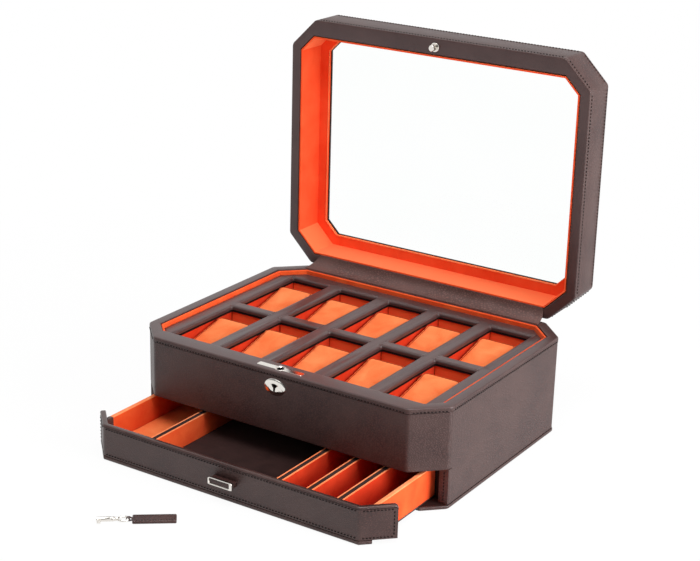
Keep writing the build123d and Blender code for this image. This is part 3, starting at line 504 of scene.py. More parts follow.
OCTAGON = [
    (CORNER_LEG - HALF_WIDTH, FRONT),
    (HALF_WIDTH - CORNER_LEG, FRONT),
    (HALF_WIDTH, FRONT + CORNER_LEG),
    (HALF_WIDTH, REAR - CORNER_LEG),
    (HALF_WIDTH - CORNER_LEG, REAR),
    (CORNER_LEG - HALF_WIDTH, REAR),
    (-HALF_WIDTH, REAR - CORNER_LEG),
    (-HALF_WIDTH, FRONT + CORNER_LEG),
]
BLOCK_FACES = ((0, 1, 3, 2), (4, 5, 7, 6), (0, 1, 5, 4), (2, 3, 7, 6), (0, 2, 6, 4), (1, 3, 7, 5))


def box_cutter(mesh, low, high, place):
    """A block between two corners."""
    corners = [(x, y, z) for z in (low[2], high[2]) for y in (low[1], high[1]) for x in (low[0], high[0])]
    verts = [mesh.verts.new(place(corner)) for corner in corners]
    for quad in BLOCK_FACES:
        mesh.faces.new([verts[i] for i in quad])


def hinge_cutters(mesh, place, *reaches):
    """Blocks to cut away at both hinges, each by the points (y, z) of its lower and its upper corner."""
    for side in (-1, 1):
        for low, high in reaches:
            left, right = side * HINGE_PLACE - HINGE_CUT, side * HINGE_PLACE + HINGE_CUT
            box_cutter(mesh, (left, *low), (right, *high), place)


def cut_away(piece, cutter_mesh):
    """Cut the blocks of a bmesh out of a piece, and leave nothing of them behind."""
    bmesh.ops.recalc_face_normals(cutter_mesh, faces=cutter_mesh.faces)
    data = bpy.data.meshes.new("cutter")
    cutter_mesh.to_mesh(data)
    cutter_mesh.free()
    cutter = add_object("cutter", data)
    modifier = piece.modifiers.new("cut", "BOOLEAN")
    modifier.object = cutter
    modifier.operation = "DIFFERENCE"
    modifier.solver = "EXACT"
    baked(piece)
    bpy.data.objects.remove(cutter)


def sew(mesh, start, end, outward, pitch=STITCH_PITCH, length=STITCH_LENGTH, radius=THREAD_RADIUS):
    """A row of stitches from one point to another: each an arched length of thread that dips in at both ends."""
    run = end - start
    along = run.normalized()
    outward = outward.normalized()
    aside = along.cross(outward)
    thread = along * cos(STITCH_SLANT) + aside * sin(STITCH_SLANT)
    across = thread.cross(outward)
    count = max(1, round(run.length / pitch))
    rings = ((-1.0, 0.3, -1.2), (-0.8, 0.8, -0.2), (-0.4, 1.0, 0.35), (0.4, 1.0, 0.35), (0.8, 0.8, -0.2),
             (1.0, 0.3, -1.2))
    for index in range(count):
        middle = start + run * ((index + 0.5) / count)
        loops = []
        for reach, thickness, lift in rings:
            centre = middle + thread * (reach * length / 2) + outward * (lift * radius)
            loops.append([centre + across * x + outward * y for x, y in circle(radius * thickness, 6)])
        solid(mesh, loops)


def sew_side(mesh, start, end, height, place, margins, proud):
    """A row of stitches along one side of a course, short of its ends by the margins."""
    start, end = Vector(start), Vector(end)
    along = (end - start).normalized()
    outward = Vector((along.y, -along.x))
    first = start + along * margins[0] + outward * proud
    last = end - along * margins[1] + outward * proud
    sew(mesh, place((*first, height)), place((*last, height)), place((*outward, 0)) - place((0, 0, 0)))


def sew_round(mesh, height, place, edges=range(8)):
    """Stitch round the outside of the box at a height, one row to each side."""
    for index in edges:
        sew_side(mesh, OCTAGON[index], OCTAGON[(index + 1) % 8], height, place, (3.2 * MM, 3.2 * MM), SKIN_PROUD)


NOT_THE_REAR = (0, 1, 2, 3, 5, 6, 7)


def rim_leather():
    """Leather turned over the rim of the casing, its cut edge showing as a fold below the stitching."""
    top = RIM + SKIN_RISE
    outer_round, inner_round = 1.4 * MM, 0.7 * MM
    outer = -SKIN_PROUD
    fold = RIM - FOLD_DEPTH
    wander, waves_per_metre = 0.35 * MM, 45
    profile = mm((outer, fold), (0.15, -0.1), (0, 0.4), (-0.05, 2.5))
    profile += quarter((outer + outer_round, top - outer_round), outer_round, 0, 90)
    profile += quarter((WALL + 0.15 * MM - inner_round, top - inner_round), inner_round, 90, 180)
    profile += mm((WALL, RIM), (0.1, -3), (-1, -3), (-1, -0.8)) + mm((0, RIM), (1, -0.8), (0.6, -5))
    over_liner = FRONT_EXTRA + 2.6 * MM
    loops = follow(OCTAGON, profile, extra_at=lambda inset: over_liner * max(0.0, min(1.0, inset / WALL)))
    for loop in loops[:2]:
        for point in loop:
            point.z += wander * noise.noise(Vector((point.x, point.y, 0)) * waves_per_metre)
    mesh = bmesh.new()
    sweep(mesh, loops)
    # Faces at the fold's lower edge take the near-black line: painted shadow under the fold.
    for face in mesh.faces:
        low_corner, high_corner = min(v.co.z for v in face.verts), max(v.co.z for v in face.verts)
        if high_corner < fold + 0.9 * MM and high_corner - low_corner < 1.2 * MM:
            face.material_index = 1
        elif low_corner > RIM - 0.9 * MM:
            face.material_index = 2
    piece = make_piece("rim_leather", mesh, LEATHER, "casing", extra_materials=(NEAR_BLACK_SHADE, SOFT_LEATHER))
    cutter = bmesh.new()
    behind = (REAR + 3 * MM, RIM + 3 * MM)
    hinge_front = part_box("hinge_base_leaves")[0].y - 0.2 * MM
    hinge_cutters(cutter, in_place, ((hinge_front, RIM - 0.05 * MM), behind),
                  ((REAR + 0.01 * MM, fold - 2 * MM), behind))
    plate_low, plate_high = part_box("lock_plate")
    low = (plate_low.x - 0.1 * MM, plate_low.y + 1.8 * MM, RIM - 3 * MM)
    high = (plate_high.x + 0.1 * MM, plate_high.y - 1.8 * MM, RIM + 3 * MM)
    box_cutter(cutter, low, high, in_place)
    cut_away(piece, cutter)
    stitches = bmesh.new()
    sew_round(stitches, RIM - 3.7 * MM, in_place, NOT_THE_REAR)
    seam_y = FRONT + CORNER_LEG - 0.05 * MM
    for side in (-1, 1):
        seam_x = side * (HALF_WIDTH - 5 * MM)
        low = Vector((seam_x, seam_y, BOARD_TOP + 3 * MM))
        high = Vector((seam_x, seam_y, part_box("front_panel")[0].z - 3 * MM))
        sew(stitches, low, high, Vector((0, -1, 0)))
    make_piece("rim_stitching", stitches, THREAD, "casing")


rim_leather()


def bottom_edge():
    """Leather wrapped round the edge of the bottom board, which stands a little proud of the walls."""
    notch_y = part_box("bottom_board")[0].y
    notch = HALF_WIDTH - CORNER_LEG + notch_y - FRONT
    low, high = 0.65 * MM, BOARD_TOP + 0.05 * MM
    proud, corner = 0.7 * MM, 1.1 * MM
    profile = [(1.2 * MM, low), *quarter((corner - proud, low + corner), corner, -90, 0, 3)]
    profile += [*quarter((corner - proud, high - corner), corner, 0, 90, 3), (1.2 * MM, high)]
    # A near-black strip along the joint above the base: painted shadow in the joint.
    shade_line_profile = mm((0, BOARD_TOP), (0.3, -0.2), (-0.12, -0.2), (-0.12, 0.65), (0.3, 0.65))
    for name, course, section, material in (
        ("bottom_edge_leather", [(notch, notch_y), *OCTAGON[2:], (-notch, notch_y)], profile, LEATHER),
        ("bottom_joint_shade_line", OCTAGON[2:], shade_line_profile, NEAR_BLACK_SHADE),
    ):
        mesh = bmesh.new()
        sweep(mesh, follow(course, section, closed=False), closed=False, caps=True)
        make_piece(name, mesh, material, "casing")
    strip = bmesh.new()
    profile = [(notch_y - 0.15 * MM, 1.0 * MM)] + mm((notch_y, BOARD_TOP), (-0.15, -0.2), (0, 0.06), (0.8, 0.06))
    profile += [(notch_y + 0.8 * MM, 1.0 * MM)]
    solid(strip, [[(side * notch, y, z) for y, z in profile] for side in (-1, 1)])
    make_piece("board_front_edge", strip, BURNISHED, "casing")


bottom_edge()


def lid_leather():
    """One skin of leather from the lid's mating face, round its side and top to the edge of the window."""
    low, high = LID_BOTTOM - SKIN_RISE, LID_TOP + SKIN_RISE
    outer = -SKIN_PROUD
    edge_round, top_round, inner_round = 1.3 * MM, 1.8 * MM, 0.8 * MM
    inner = WALL + 0.15 * MM
    window = WINDOW_INSET + 0.15 * MM
    profile = quarter((inner - inner_round, low + inner_round), inner_round, 180, 270)
    profile += quarter((outer + edge_round, low + edge_round), edge_round, -90, 0)
    for height in (low + FOLD_DEPTH, high - FOLD_DEPTH):
        profile += mm((outer, height), (0, -0.3), (0.12, 0), (0, 0.3))
    profile += quarter((outer + top_round, high - top_round), top_round, 0, 90)
    profile += quarter((window - inner_round, high - inner_round), inner_round, 90, 180)
    profile += mm((window, LID_TOP), (-0.05, -1.6), (-1, -1.6), (-1, -0.8))
    profile += mm((0, LID_TOP), (1.2, -0.8), (0.8, -3)) + mm((0, LID_BOTTOM), (0.8, 2), (1.5, 0.8))
    profile += mm((WALL, LID_BOTTOM), (-1, 0.8), (-1, 3), (0.1, 3))

    def extra_at(inset):
        share = max(0.0, min(1.0, inset / WALL))
        past = max(0.0, min(1.0, (inset - WALL) / (WINDOW_INSET - WALL)))
        return FRONT_EXTRA * share * (1 - past) + WINDOW_EXTRA * past

    mesh = bmesh.new()
    sweep(mesh, follow(OCTAGON, profile, place=in_lid, extra_at=extra_at))
    mating_y = in_lid((0, 0, low)).y + 0.35 * MM
    for face in mesh.faces:
        if max(v.co.y for v in face.verts) < mating_y:
            face.material_index = 1
    piece = make_piece("lid_leather", mesh, LEATHER, "lid", extra_materials=(SOFT_LEATHER,))
    cutter = bmesh.new()
    below = LID_BOTTOM - 3 * MM
    hinge_cutters(cutter, in_lid, ((REAR - 8.7 * MM, below), (REAR + 3 * MM, LID_BOTTOM + 0.05 * MM)),
                  ((REAR + 0.01 * MM, below), (REAR + 3 * MM, LID_BOTTOM + 5 * MM)))
    cut_away(piece, cutter)
    bead = bmesh.new()
    bead_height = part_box("lid_flange")[0].y - HINGE.y + HINGE.z
    around = circle(1.0, 8)
    bead_profile = [(WINDOW_INSET + (0.55 * x - 0.7) * MM, bead_height + 0.4 * y * MM) for x, y in around]
    sweep(bead, follow(OCTAGON, bead_profile, place=in_lid, extra_at=extra_at))
    make_piece("window_piping", bead, HIGHLIGHT_ORANGE_PIPING, "lid")
    stitches = bmesh.new()
    sew_round(stitches, LID_BOTTOM + 3.4 * MM, in_lid, NOT_THE_REAR)
    sew_round(stitches, LID_TOP - 3.6 * MM, in_lid)
    make_piece("lid_stitching", stitches, THREAD, "lid")
    return piece


lid_skin = lid_leather()


def tray_leather():
    """The padded frame round the wells: leather over foam, rolled down and gathered at every opening."""
    low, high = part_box("tray_frame")
    bottom, top = low.z + 0.1 * MM, high.z + 0.35 * MM
    opening_round = 1.6 * MM
    gather_width, gather_depth = 0.32, 0.45 * MM
    profile = [(0.0, bottom), *mm((0, top), (0, -2.7), (0.12, -1.8), (0.45, -1.05), (1, -0.5), (1.7, -0.2),
                                  (2.6, -0.05), (3.8, 0))]
    rim_profile = [(0.0, bottom), *mm((0, top), (0, -2.4), (0.25, -1.3), (0.9, -0.5), (1.9, -0.1), (3, 0))]
    mesh, shade_band = bmesh.new(), bmesh.new()
    top_edges, bottom_edges = [], []
    for well in WELLS:
        loops = []
        for offset, height in profile:
            loop = []
            half_x, half_y = OPENING_HALF_X + offset, OPENING_HALF_Y + offset
            for point, corner in rounded_opening(well, half_x, half_y, opening_round + offset):
                dip = 0.0
                if corner is not None and offset > 0:
                    across = (corner - 0.5) / gather_width
                    dip = gather_depth * cos(corner * tau * 3) * exp(-across * across)
                loop.append((*point, height + dip))
            loops.append(loop)
        rows = sweep(mesh, loops, tube=False)
        top_edges += border(mesh, rows[-1])
        bottom_edges += border(mesh, rows[0])
        # A near-black band round each opening just under the leather: painted shadow under the bars' edges.
        loops = []
        for offset, height in mm((0, bottom), (0.3, 0.5), (-0.16, 0.5), (-0.16, -1.6), (0.3, -1.6)):
            around = rounded_opening(well, OPENING_HALF_X + offset, OPENING_HALF_Y + offset, opening_round)
            loops.append([(*point, height) for point, _ in around])
        sweep(shade_band, loops)
    inset = HALF_WIDTH - high.x
    loops = []
    for offset, height in rim_profile:
        points = outline(OCTAGON, inset + offset, 1.5 * MM + inset, FRONT_EXTRA)
        loops.append([(*point, height) for point in points])
    rows = sweep(mesh, loops, tube=False)
    fill(mesh, top_edges + border(mesh, rows[-1]))
    fill(mesh, bottom_edges + border(mesh, rows[0]))
    piece = make_piece("tray_leather", mesh, SOFT_LEATHER, "casing", sharp=60, stands_for="tray_frame")
    make_piece("opening_shade_bands", shade_band, NEAR_BLACK_SHADE, "casing")


tray_leather()


def swell(piece, pressure, cap, last_frame=20):
    """Blow a closed mesh up as cloth, let no point move further than cap, and keep the result."""
    start = [vertex.co.copy() for vertex in piece.data.vertices]
    cloth = piece.modifiers.new("swell", "CLOTH")
    cloth.settings.use_pressure = True
    cloth.settings.uniform_pressure_force = pressure
    cloth.settings.effector_weights.gravity = 0
    for number in range(1, last_frame + 1):
        scene.frame_set(number)
    blown = piece.evaluated_get(bpy.context.evaluated_depsgraph_get())
    moved = [vertex.co.copy() for vertex in blown.data.vertices]
    piece.modifiers.remove(cloth)
    scene.frame_set(1)
    for vertex, old, new in zip(piece.data.vertices, start, moved):
        step = new - old
        if step.length > cap:
            step *= cap / step.length
        vertex.co = old + step


def cord_ring(mesh, points, radius):
    """A closed ring of cord through points, which all lie nearly level."""
    loops = []
    count = len(points)
    for index, point in enumerate(points):
        along = (points[(index + 1) % count] - points[index - 1]).normalized()
        aside = along.cross(UP).normalized()
        upward = aside.cross(along)
        loops.append([point + aside * x + upward * y for x, y in circle(radius, 6)])
    sweep(mesh, loops)


CUSHION_SLOPE = 12.5


def cushion_form():
    """Mesh of one cushion from its rear edge forward: a foam wedge in microfibre with a seam round its top."""
    low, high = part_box("cushion_1")
    shrink = 0.5 * MM
    half = (high.x - low.x) / 2 - shrink
    length = high.y - low.y
    height = high.z - low.z - 0.9 * MM
    fall = tan(radians(CUSHION_SLOPE))
    mesh = bmesh.new()
    box_cutter(mesh, (-half, -shrink, 0.0), (half, shrink - length, height),
               lambda point: Vector((point[0], point[1], point[2] + point[1] * fall if point[2] else 0.0)))
    bmesh.ops.recalc_face_normals(mesh, faces=mesh.faces)
    upright = [e for e in mesh.edges if (e.verts[0].co - e.verts[1].co).xy.length < 1e-6]
    bmesh.ops.bevel(mesh, geom=upright, offset=4.2 * MM, segments=5, affect="EDGES", profile=0.5)
    rims = [e for e in mesh.edges if e.calc_face_angle() > radians(50)]
    bmesh.ops.bevel(mesh, geom=rims, offset=1.1 * MM, segments=3, affect="EDGES", profile=0.5)
    piece = make_piece("cushion_form", mesh, SUEDE_ORANGE, None)
    remesh = piece.modifiers.new("even", "REMESH")
    remesh.mode = "VOXEL"
    remesh.voxel_size = 1.7 * MM
    remesh.use_smooth_shade = True
    baked(piece)
    swell(piece, 4.0, 0.6 * MM)
    for vertex in piece.data.vertices:
        vertex.co.z = max(vertex.co.z, 0.0)
    fine = piece.modifiers.new("fine", "SUBSURF")
    fine.levels = fine.render_levels = 1
    baked(piece)
    data = piece.data
    corners = [vertex.co.copy() for vertex in data.vertices]
    surface = BVHTree.FromPolygons(corners, [tuple(p.vertices) for p in data.polygons])
    # The seam cord is darker than the cloth: the seam's own thread, darkened as painted shade of the groove it sits
    # in.
    inset = 2.9 * MM
    seam = []
    for point, _ in rounded_opening((0, -length / 2), half - inset, length / 2 - inset, 3.4 * MM, 6):
        top = surface.ray_cast(Vector((*point, 1.0)), -UP)[0]
        seam.append(top + UP * 0.12 * MM)
    mesh = bmesh.new()
    mesh.from_mesh(data)
    faces_before = len(mesh.faces)
    cord_ring(mesh, seam, 0.42 * MM)
    mesh.faces.ensure_lookup_table()
    for face in mesh.faces[faces_before:]:
        face.material_index = 1
        face.smooth = True
    mesh.to_mesh(data)
    mesh.free()
    data.materials.append(SEAM_THREAD_AND_SHADE_LINE)
    bpy.data.objects.remove(piece)
    return data


# How much further each cushion's rear is pushed up, as they stand in the wells
CUSHION_LIFT = {1: 2.0, 2: 0.6, 3: 0.3, 4: 0.0, 5: 0.4, 6: 0.0, 7: 1.8, 8: 0.0, 9: 0.3, 10: 0.0}


def cushions():
    """Ten cushions of one form, each a little differently plump and seated."""
    form = cushion_form()
    bump, bumps_per_metre, full_above = 0.12 * MM, 40, 8 * MM
    for number, lift in CUSHION_LIFT.items():
        low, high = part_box(f"cushion_{number}")
        data = form.copy()
        tilt = Matrix.Rotation(lift * MM / (high.y - low.y), 4, "X")
        seat = Matrix.Translation((0, low.y - high.y, 0))
        data.transform(Matrix.Translation(((low.x + high.x) / 2, high.y, low.z)) @ seat @ tilt @ seat.inverted())
        for vertex in data.vertices:
            push = noise.noise_vector(vertex.co * bumps_per_metre) * bump
            vertex.co += push * min(1.0, (vertex.co.z - low.z) / full_above)
        piece = add_object(f"cushion_cover_{number}", data)
        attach(piece, f"cushion_{number}")
        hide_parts(f"cushion_{number}")


cushions()


def well_corner_shade_lines():
    """A dark strip down each well's rear left corner: painted shade in the corner of the lining."""
    mesh = bmesh.new()
    setback = 1.0 * MM
    floor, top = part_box("well_floor")[1].z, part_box("tray_frame")[0].z
    for x, y in WELLS:
        spot = (x - OPENING_HALF_X - setback + 0.2 * MM, y + OPENING_HALF_Y + setback - 0.1 * MM)
        block(mesh, spot, 0.4 * MM, 0.4 * MM, 0.1 * MM, [(0.0, floor + 0.2 * MM), (0.0, top - 0.2 * MM)])
    make_piece("well_corner_shade_lines", mesh, SEAM_THREAD_AND_SHADE_LINE, "casing")


well_corner_shade_lines()

# Course of the drawer's front: along the casing's front and part of both cut corners
DRAWER_LEG = 24.2 * MM
FACING = 5 * MM
DRAWER_COURSE = [
    (CORNER_LEG - HALF_WIDTH - DRAWER_LEG, FRONT + DRAWER_LEG),
    (CORNER_LEG - HALF_WIDTH, FRONT),
    (HALF_WIDTH - CORNER_LEG, FRONT),
    (HALF_WIDTH - CORNER_LEG + DRAWER_LEG, FRONT + DRAWER_LEG),
]


def drawer_front():
    """Leather over board, turned over the top edge, whose tips are rounded off, with a fold below it."""
    low, high = (corner.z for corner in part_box("drawer_front"))
    top = high + 0.15 * MM
    proud, face = 0.45 * MM, 0.1 * MM
    outer_round, inner_round = 1.7 * MM, 1.1 * MM
    inner = FACING - 0.05 * MM
    fold, foot = top - 2.0 * MM, 0.8 * MM
    base = low + 0.05 * MM
    profile = [(0.9 * MM, base)] + quarter((foot - face, base + foot), foot, -90, 0, 3)
    profile += [(-face, fold - 0.6 * MM), (0.1 * MM - proud, fold), (-proud, fold + 0.4 * MM)]
    profile += quarter((outer_round - proud, top - outer_round), outer_round, 0, 90)
    profile += quarter((inner - inner_round, top - inner_round), inner_round, 90, 180)
    profile += [(inner, low + 6 * MM), (inner, base)]
    straight = outline(DRAWER_COURSE, 0.0, CORNER_ROUND, closed=False, spacing=2.4 * MM)
    reach = [0.0]
    for before, after in zip(straight, straight[1:]):
        reach.append(reach[-1] + (after - before).length)
    tip = 1.6 * MM
    straight_up = low + 8 * MM
    loops = follow(DRAWER_COURSE, profile, place=in_drawer, closed=False, spacing=2.4 * MM)
    for loop in loops:
        for point, along in zip(loop, reach):
            short = max(0.0, tip - min(along, reach[-1] - along))
            drop = tip - (tip * tip - short * short) ** 0.5
            point.z -= drop * max(0.0, (point.z - straight_up) / (top - straight_up))
    mesh = bmesh.new()
    sweep(mesh, loops, closed=False, caps=True)
    # Faces under the fold take the near-black line: painted shadow under the fold.
    for panel in mesh.faces:
        heights = [v.co.z for v in panel.verts]
        if fold - 2.6 * MM < min(heights) and max(heights) < fold + 0.1 * MM and len(heights) == 4:
            panel.material_index = 1
        elif min(heights) > top - 1.4 * MM:
            panel.material_index = 2
    make_piece("drawer_front_leather", mesh, LEATHER, "drawer", sharp=40, extra_materials=(NEAR_BLACK_SHADE, BURNISHED),
               stands_for="drawer_front")
    stitches = bmesh.new()
    end_margin, corner_margin = 3.5 * MM, 2.5 * MM
    margins = [(end_margin, corner_margin), (corner_margin, corner_margin), (corner_margin, end_margin)]
    for height in (low + 2.3 * MM, top - 4.0 * MM):
        for start, end, short in zip(DRAWER_COURSE, DRAWER_COURSE[1:], margins):
            sew_side(stitches, start, end, height, in_drawer, short, face)
    for sign in (-1, 1):
        outward = Vector((sign, -1, 0)).normalized()
        end = Vector((sign * (HALF_WIDTH - CORNER_LEG + DRAWER_LEG), FRONT + DRAWER_LEG, 0))
        spot = end - Vector((sign, 1, 0)).normalized() * 3.2 * MM + outward * face
        ends = [in_drawer((spot.x, spot.y, height)) for height in (low + 3.5 * MM, top - 5.2 * MM)]
        sew(stitches, *ends, outward)
    make_piece("drawer_front_stitching", stitches, THREAD, "drawer")


drawer_front()


def bay_block(mesh, low, high, radius, profile):
    """A rounded block that fills the plan between two corners."""
    middle = ((low[0] + high[0]) / 2, (low[1] + high[1]) / 2)
    block(mesh, middle, (high[0] - low[0]) / 2, (high[1] - low[1]) / 2, radius, profile)


def drawer_inside():
    """Pads on the floors of the bays, piping along the upright edges, and the brown tops of the dividers."""
    gap = 0.4 * MM
    side_left, side_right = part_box("drawer_side_left"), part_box("drawer_side_right")
    dividers = [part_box(f"divider_{number}") for number in range(1, 5)]
    walls = [side_left, *dividers, side_right]
    front, rear = dividers[0][0].y + gap, dividers[0][1].y - gap
    lining_low, lining_high = (corner.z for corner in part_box("drawer_floor_lining"))
    pad_low, pad_high = (corner.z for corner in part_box("drawer_centre_pad"))
    thin = soft_edge(lining_low + 0.02 * MM, lining_high - 0.2 * MM, 0.8 * MM, 0.3 * MM)
    thick = soft_edge(pad_low + 0.02 * MM, pad_high - 0.4 * MM, 1.6 * MM, 0.5 * MM)
    middle, left, right = bmesh.new(), bmesh.new(), bmesh.new()
    bays = zip((left, middle, right, right, right), (7, 0, 0, 0, 7), walls, walls[1:])
    for mesh, setback, before, after in bays:
        low, high = (before[1].x + gap, front + setback * MM), (after[0].x - gap, rear)
        bay_block(mesh, low, high, *((3 * MM, thick) if mesh is middle else (1.2 * MM, thin)))
    for name, mesh, material, replaced, fullness in (
        ("drawer_middle_pad", middle, SUEDE_BROWN, "drawer_centre_pad", 0.9),
        ("left_bay_pad", left, SUEDE_ORANGE, "drawer_floor_lining", 0.95),
        ("right_bay_pads", right, DEEP_SHADED_WELL_ORANGE, "drawer_floor_lining", 0.95),
    ):
        piece = make_piece(name, mesh, material, "drawer", stands_for=replaced)
    caps, piping = bmesh.new(), bmesh.new()
    for low, high in dividers:
        centre, long_half = (low + high) / 2, (high.y - low.y) / 2 - 0.2 * MM
        wide_half = (high.x - low.x) / 2
        profile = soft_edge(high.z - 0.5 * MM, high.z + 0.2 * MM, 0.3 * MM, 0.05 * MM)
        block(caps, centre.xy, wide_half - 0.8 * MM, long_half, 0.5 * MM, profile)
        profile = soft_edge(high.z - 0.8 * MM, high.z + 0.1 * MM, 0.3 * MM, 0.02 * MM, 0.1 * MM)
        for side in (-1, 1):
            edge = (centre.x + side * (wide_half - 0.35 * MM), centre.y)
            block(piping, edge, 0.5 * MM, long_half, 0.4 * MM, profile)
    for (low, high), start in ((side_left, 8), (side_right, 1)):
        profile = soft_edge(high.z - 0.8 * MM, high.z + 0.3 * MM, 0.6 * MM, 0.1 * MM)
        wide = 0.15 * MM
        bay_block(piping, (low.x - wide, low.y + start * MM), (high.x + wide, high.y), 0.8 * MM, profile)
    make_piece("divider_tops", caps, SUEDE_BROWN, "drawer")
    make_piece("drawer_piping", piping, HIGHLIGHT_ORANGE_PIPING, "drawer")
    corner = bmesh.new()
    low, high = side_left
    out, into, rear = low.x - 0.3 * MM, high.x + 0.35 * MM, low.y + 8 * MM
    inner_sum = CORNER_LEG - HALF_WIDTH + FRONT - DRAWER_OUT + FACING * 2 ** 0.5 + 0.1 * MM
    points = [(out, inner_sum - out), (out, rear), (into, rear), (into, inner_sum - into)]
    prism(corner, points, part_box("drawer_front")[0].z + 1 * MM, high.z + 0.45 * MM)
    top_edges = [e for e in corner.edges if min(v.co.z for v in e.verts) > high.z]
    bmesh.ops.bevel(corner, geom=top_edges, offset=0.6 * MM, segments=3, affect="EDGES", profile=0.5)
    make_piece("drawer_corner_leather", corner, LEATHER, "drawer")


drawer_inside()


def drawer_underside():
    """Leather under the drawer, its edge showing below both sides, and the skirt below its front."""
    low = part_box("drawer_front")[0].z
    left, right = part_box("drawer_side_left")[0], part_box("drawer_side_right")[1]
    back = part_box("drawer_back")
    depth = back[0].y - (FRONT + 12 * MM - DRAWER_OUT)
    centre = ((left.x + right.x) / 2, back[1].y - depth / 2 - 2 * MM)
    mesh = bmesh.new()
    profile = mm((0, low), (0.3, -0.12), (0, 0), (0, 1.2), (0.3, 1.4))
    block(mesh, centre, (right.x - left.x) / 2 + 0.25 * MM, depth / 2, 0.5 * MM, profile)
    make_piece("drawer_underside_leather", mesh, LEATHER, "drawer")
    skirt_depth = 9.3 * MM
    tip, skirt_rear = HALF_WIDTH - CORNER_LEG + skirt_depth, FRONT + skirt_depth
    course = [(tip, skirt_rear), (-tip, skirt_rear), OCTAGON[0], OCTAGON[1]]
    section = mm((0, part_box("drawer_base")[0].z), (1.2, 0), (0.3, 0.25), (-0.2, 0.9), (-0.35, 1.8), (-0.35, 3.2),
                 (-0.1, 3.7))
    section = [(inset, min(height, low + 0.02 * MM)) for inset, height in section]
    skirt = bmesh.new()
    solid(skirt, follow(course, section, 0.6 * MM, in_drawer, lambda inset: max(0.0, -inset)))
    make_piece("drawer_skirt_leather", skirt, LEATHER, "drawer", sharp=50, stands_for="drawer_base")


drawer_underside()


def pull():
    """A leather tab in a nickel frame."""
    low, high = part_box("pull_cap")
    half_x, half_z = (high.x - low.x) / 2, (high.z - low.z) / 2
    front, depth = low.y, high.y - low.y

    def facing(point):
        return Vector((point[0], front - point[2], (low.z + high.z) / 2 + point[1]))

    wall, edge = 1.2 * MM, 0.25 * MM
    outside = [(edge, 0.0), (0.0, -edge), (0.0, edge - depth), (edge, -depth)]
    inside = [(-edge, -depth), (0.0, edge - depth), (0.0, -edge), (-edge, 0.0)]
    loops = pad_loops((0, 0), half_x, half_z, 1.2 * MM, outside)
    loops += pad_loops((-0.7 * MM, 0.35 * MM), half_x - 2.2 * MM, half_z - wall + 0.2 * MM, 0.6 * MM, inside)
    surround = bmesh.new()
    sweep(surround, [[facing(p) for p in loop] for loop in loops])
    make_piece("pull_frame", surround, NICKEL, "drawer", sharp=50, stands_for="pull_cap")
    tab = bmesh.new()
    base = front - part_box("pull_tab")[1].y
    profile = [(0.7 * MM, base), (0.7 * MM, -depth - 0.1 * MM), (0.9 * MM, -depth)]
    profile += mm((0, 0), (0.9, -0.95), (1.7, -0.75), (2.6, -0.7))
    block(tab, (0, 0), half_x, half_z, 1.5 * MM, profile, facing)
    make_piece("pull_leather", tab, LEATHER, "drawer", sharp=50, stands_for="pull_tab")


pull()


def lock_plate():
    """Plate with the dished collar that takes the lid's stud, and room for the collar in the lid's leather."""
    low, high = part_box("lock_plate")
    centre = (0.0, (low.y + high.y) / 2)
    bore, collar = 3.4 * MM, (high.y - low.y) / 2
    clearance, seat_radius, plate_half = 0.2 * MM, 4.95 * MM, 3.4 * MM
    top = high.z + SKIN_RISE + 0.08 * MM
    plate = bmesh.new()
    profile = [(0.0, low.z), (0.0, top - 0.25 * MM), (0.25 * MM, top), (1.0 * MM, top)]
    block(plate, centre, (high.x - low.x) / 2, plate_half, 1.4 * MM, profile)
    piece = make_piece("lock_top_plate", plate, NICKEL, "casing", sharp=30)
    drill = bmesh.new()
    prism(drill, circle(seat_radius, 40, centre), low.z - 1 * MM, top + 1 * MM)
    cut_away(piece, drill)
    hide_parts("lock_plate")
    crest, dish = LID_BOTTOM - 0.04 * MM, high.z + 0.14 * MM
    profile = [(collar, low.z), *mm((collar, crest), (0, -0.2), (-0.12, -0.05), (-0.25, 0), (-0.38, -0.05)),
               (collar - 0.62 * MM, dish), (bore + 0.3 * MM, dish), (bore, dish - 0.3 * MM), (bore, low.z)]
    ring_mesh = bmesh.new()
    sweep(ring_mesh, [[(*point, height) for point in circle(radius, 56, centre)] for radius, height in profile])
    make_piece("lock_collar", ring_mesh, NICKEL, "casing", sharp=40)
    drill = bmesh.new()
    around = circle(collar + clearance, 48, centre)
    prism(drill, around, LID_BOTTOM - 2 * MM, LID_BOTTOM + 1.2 * MM, in_lid)
    cut_away(lid_skin, drill)


lock_plate()


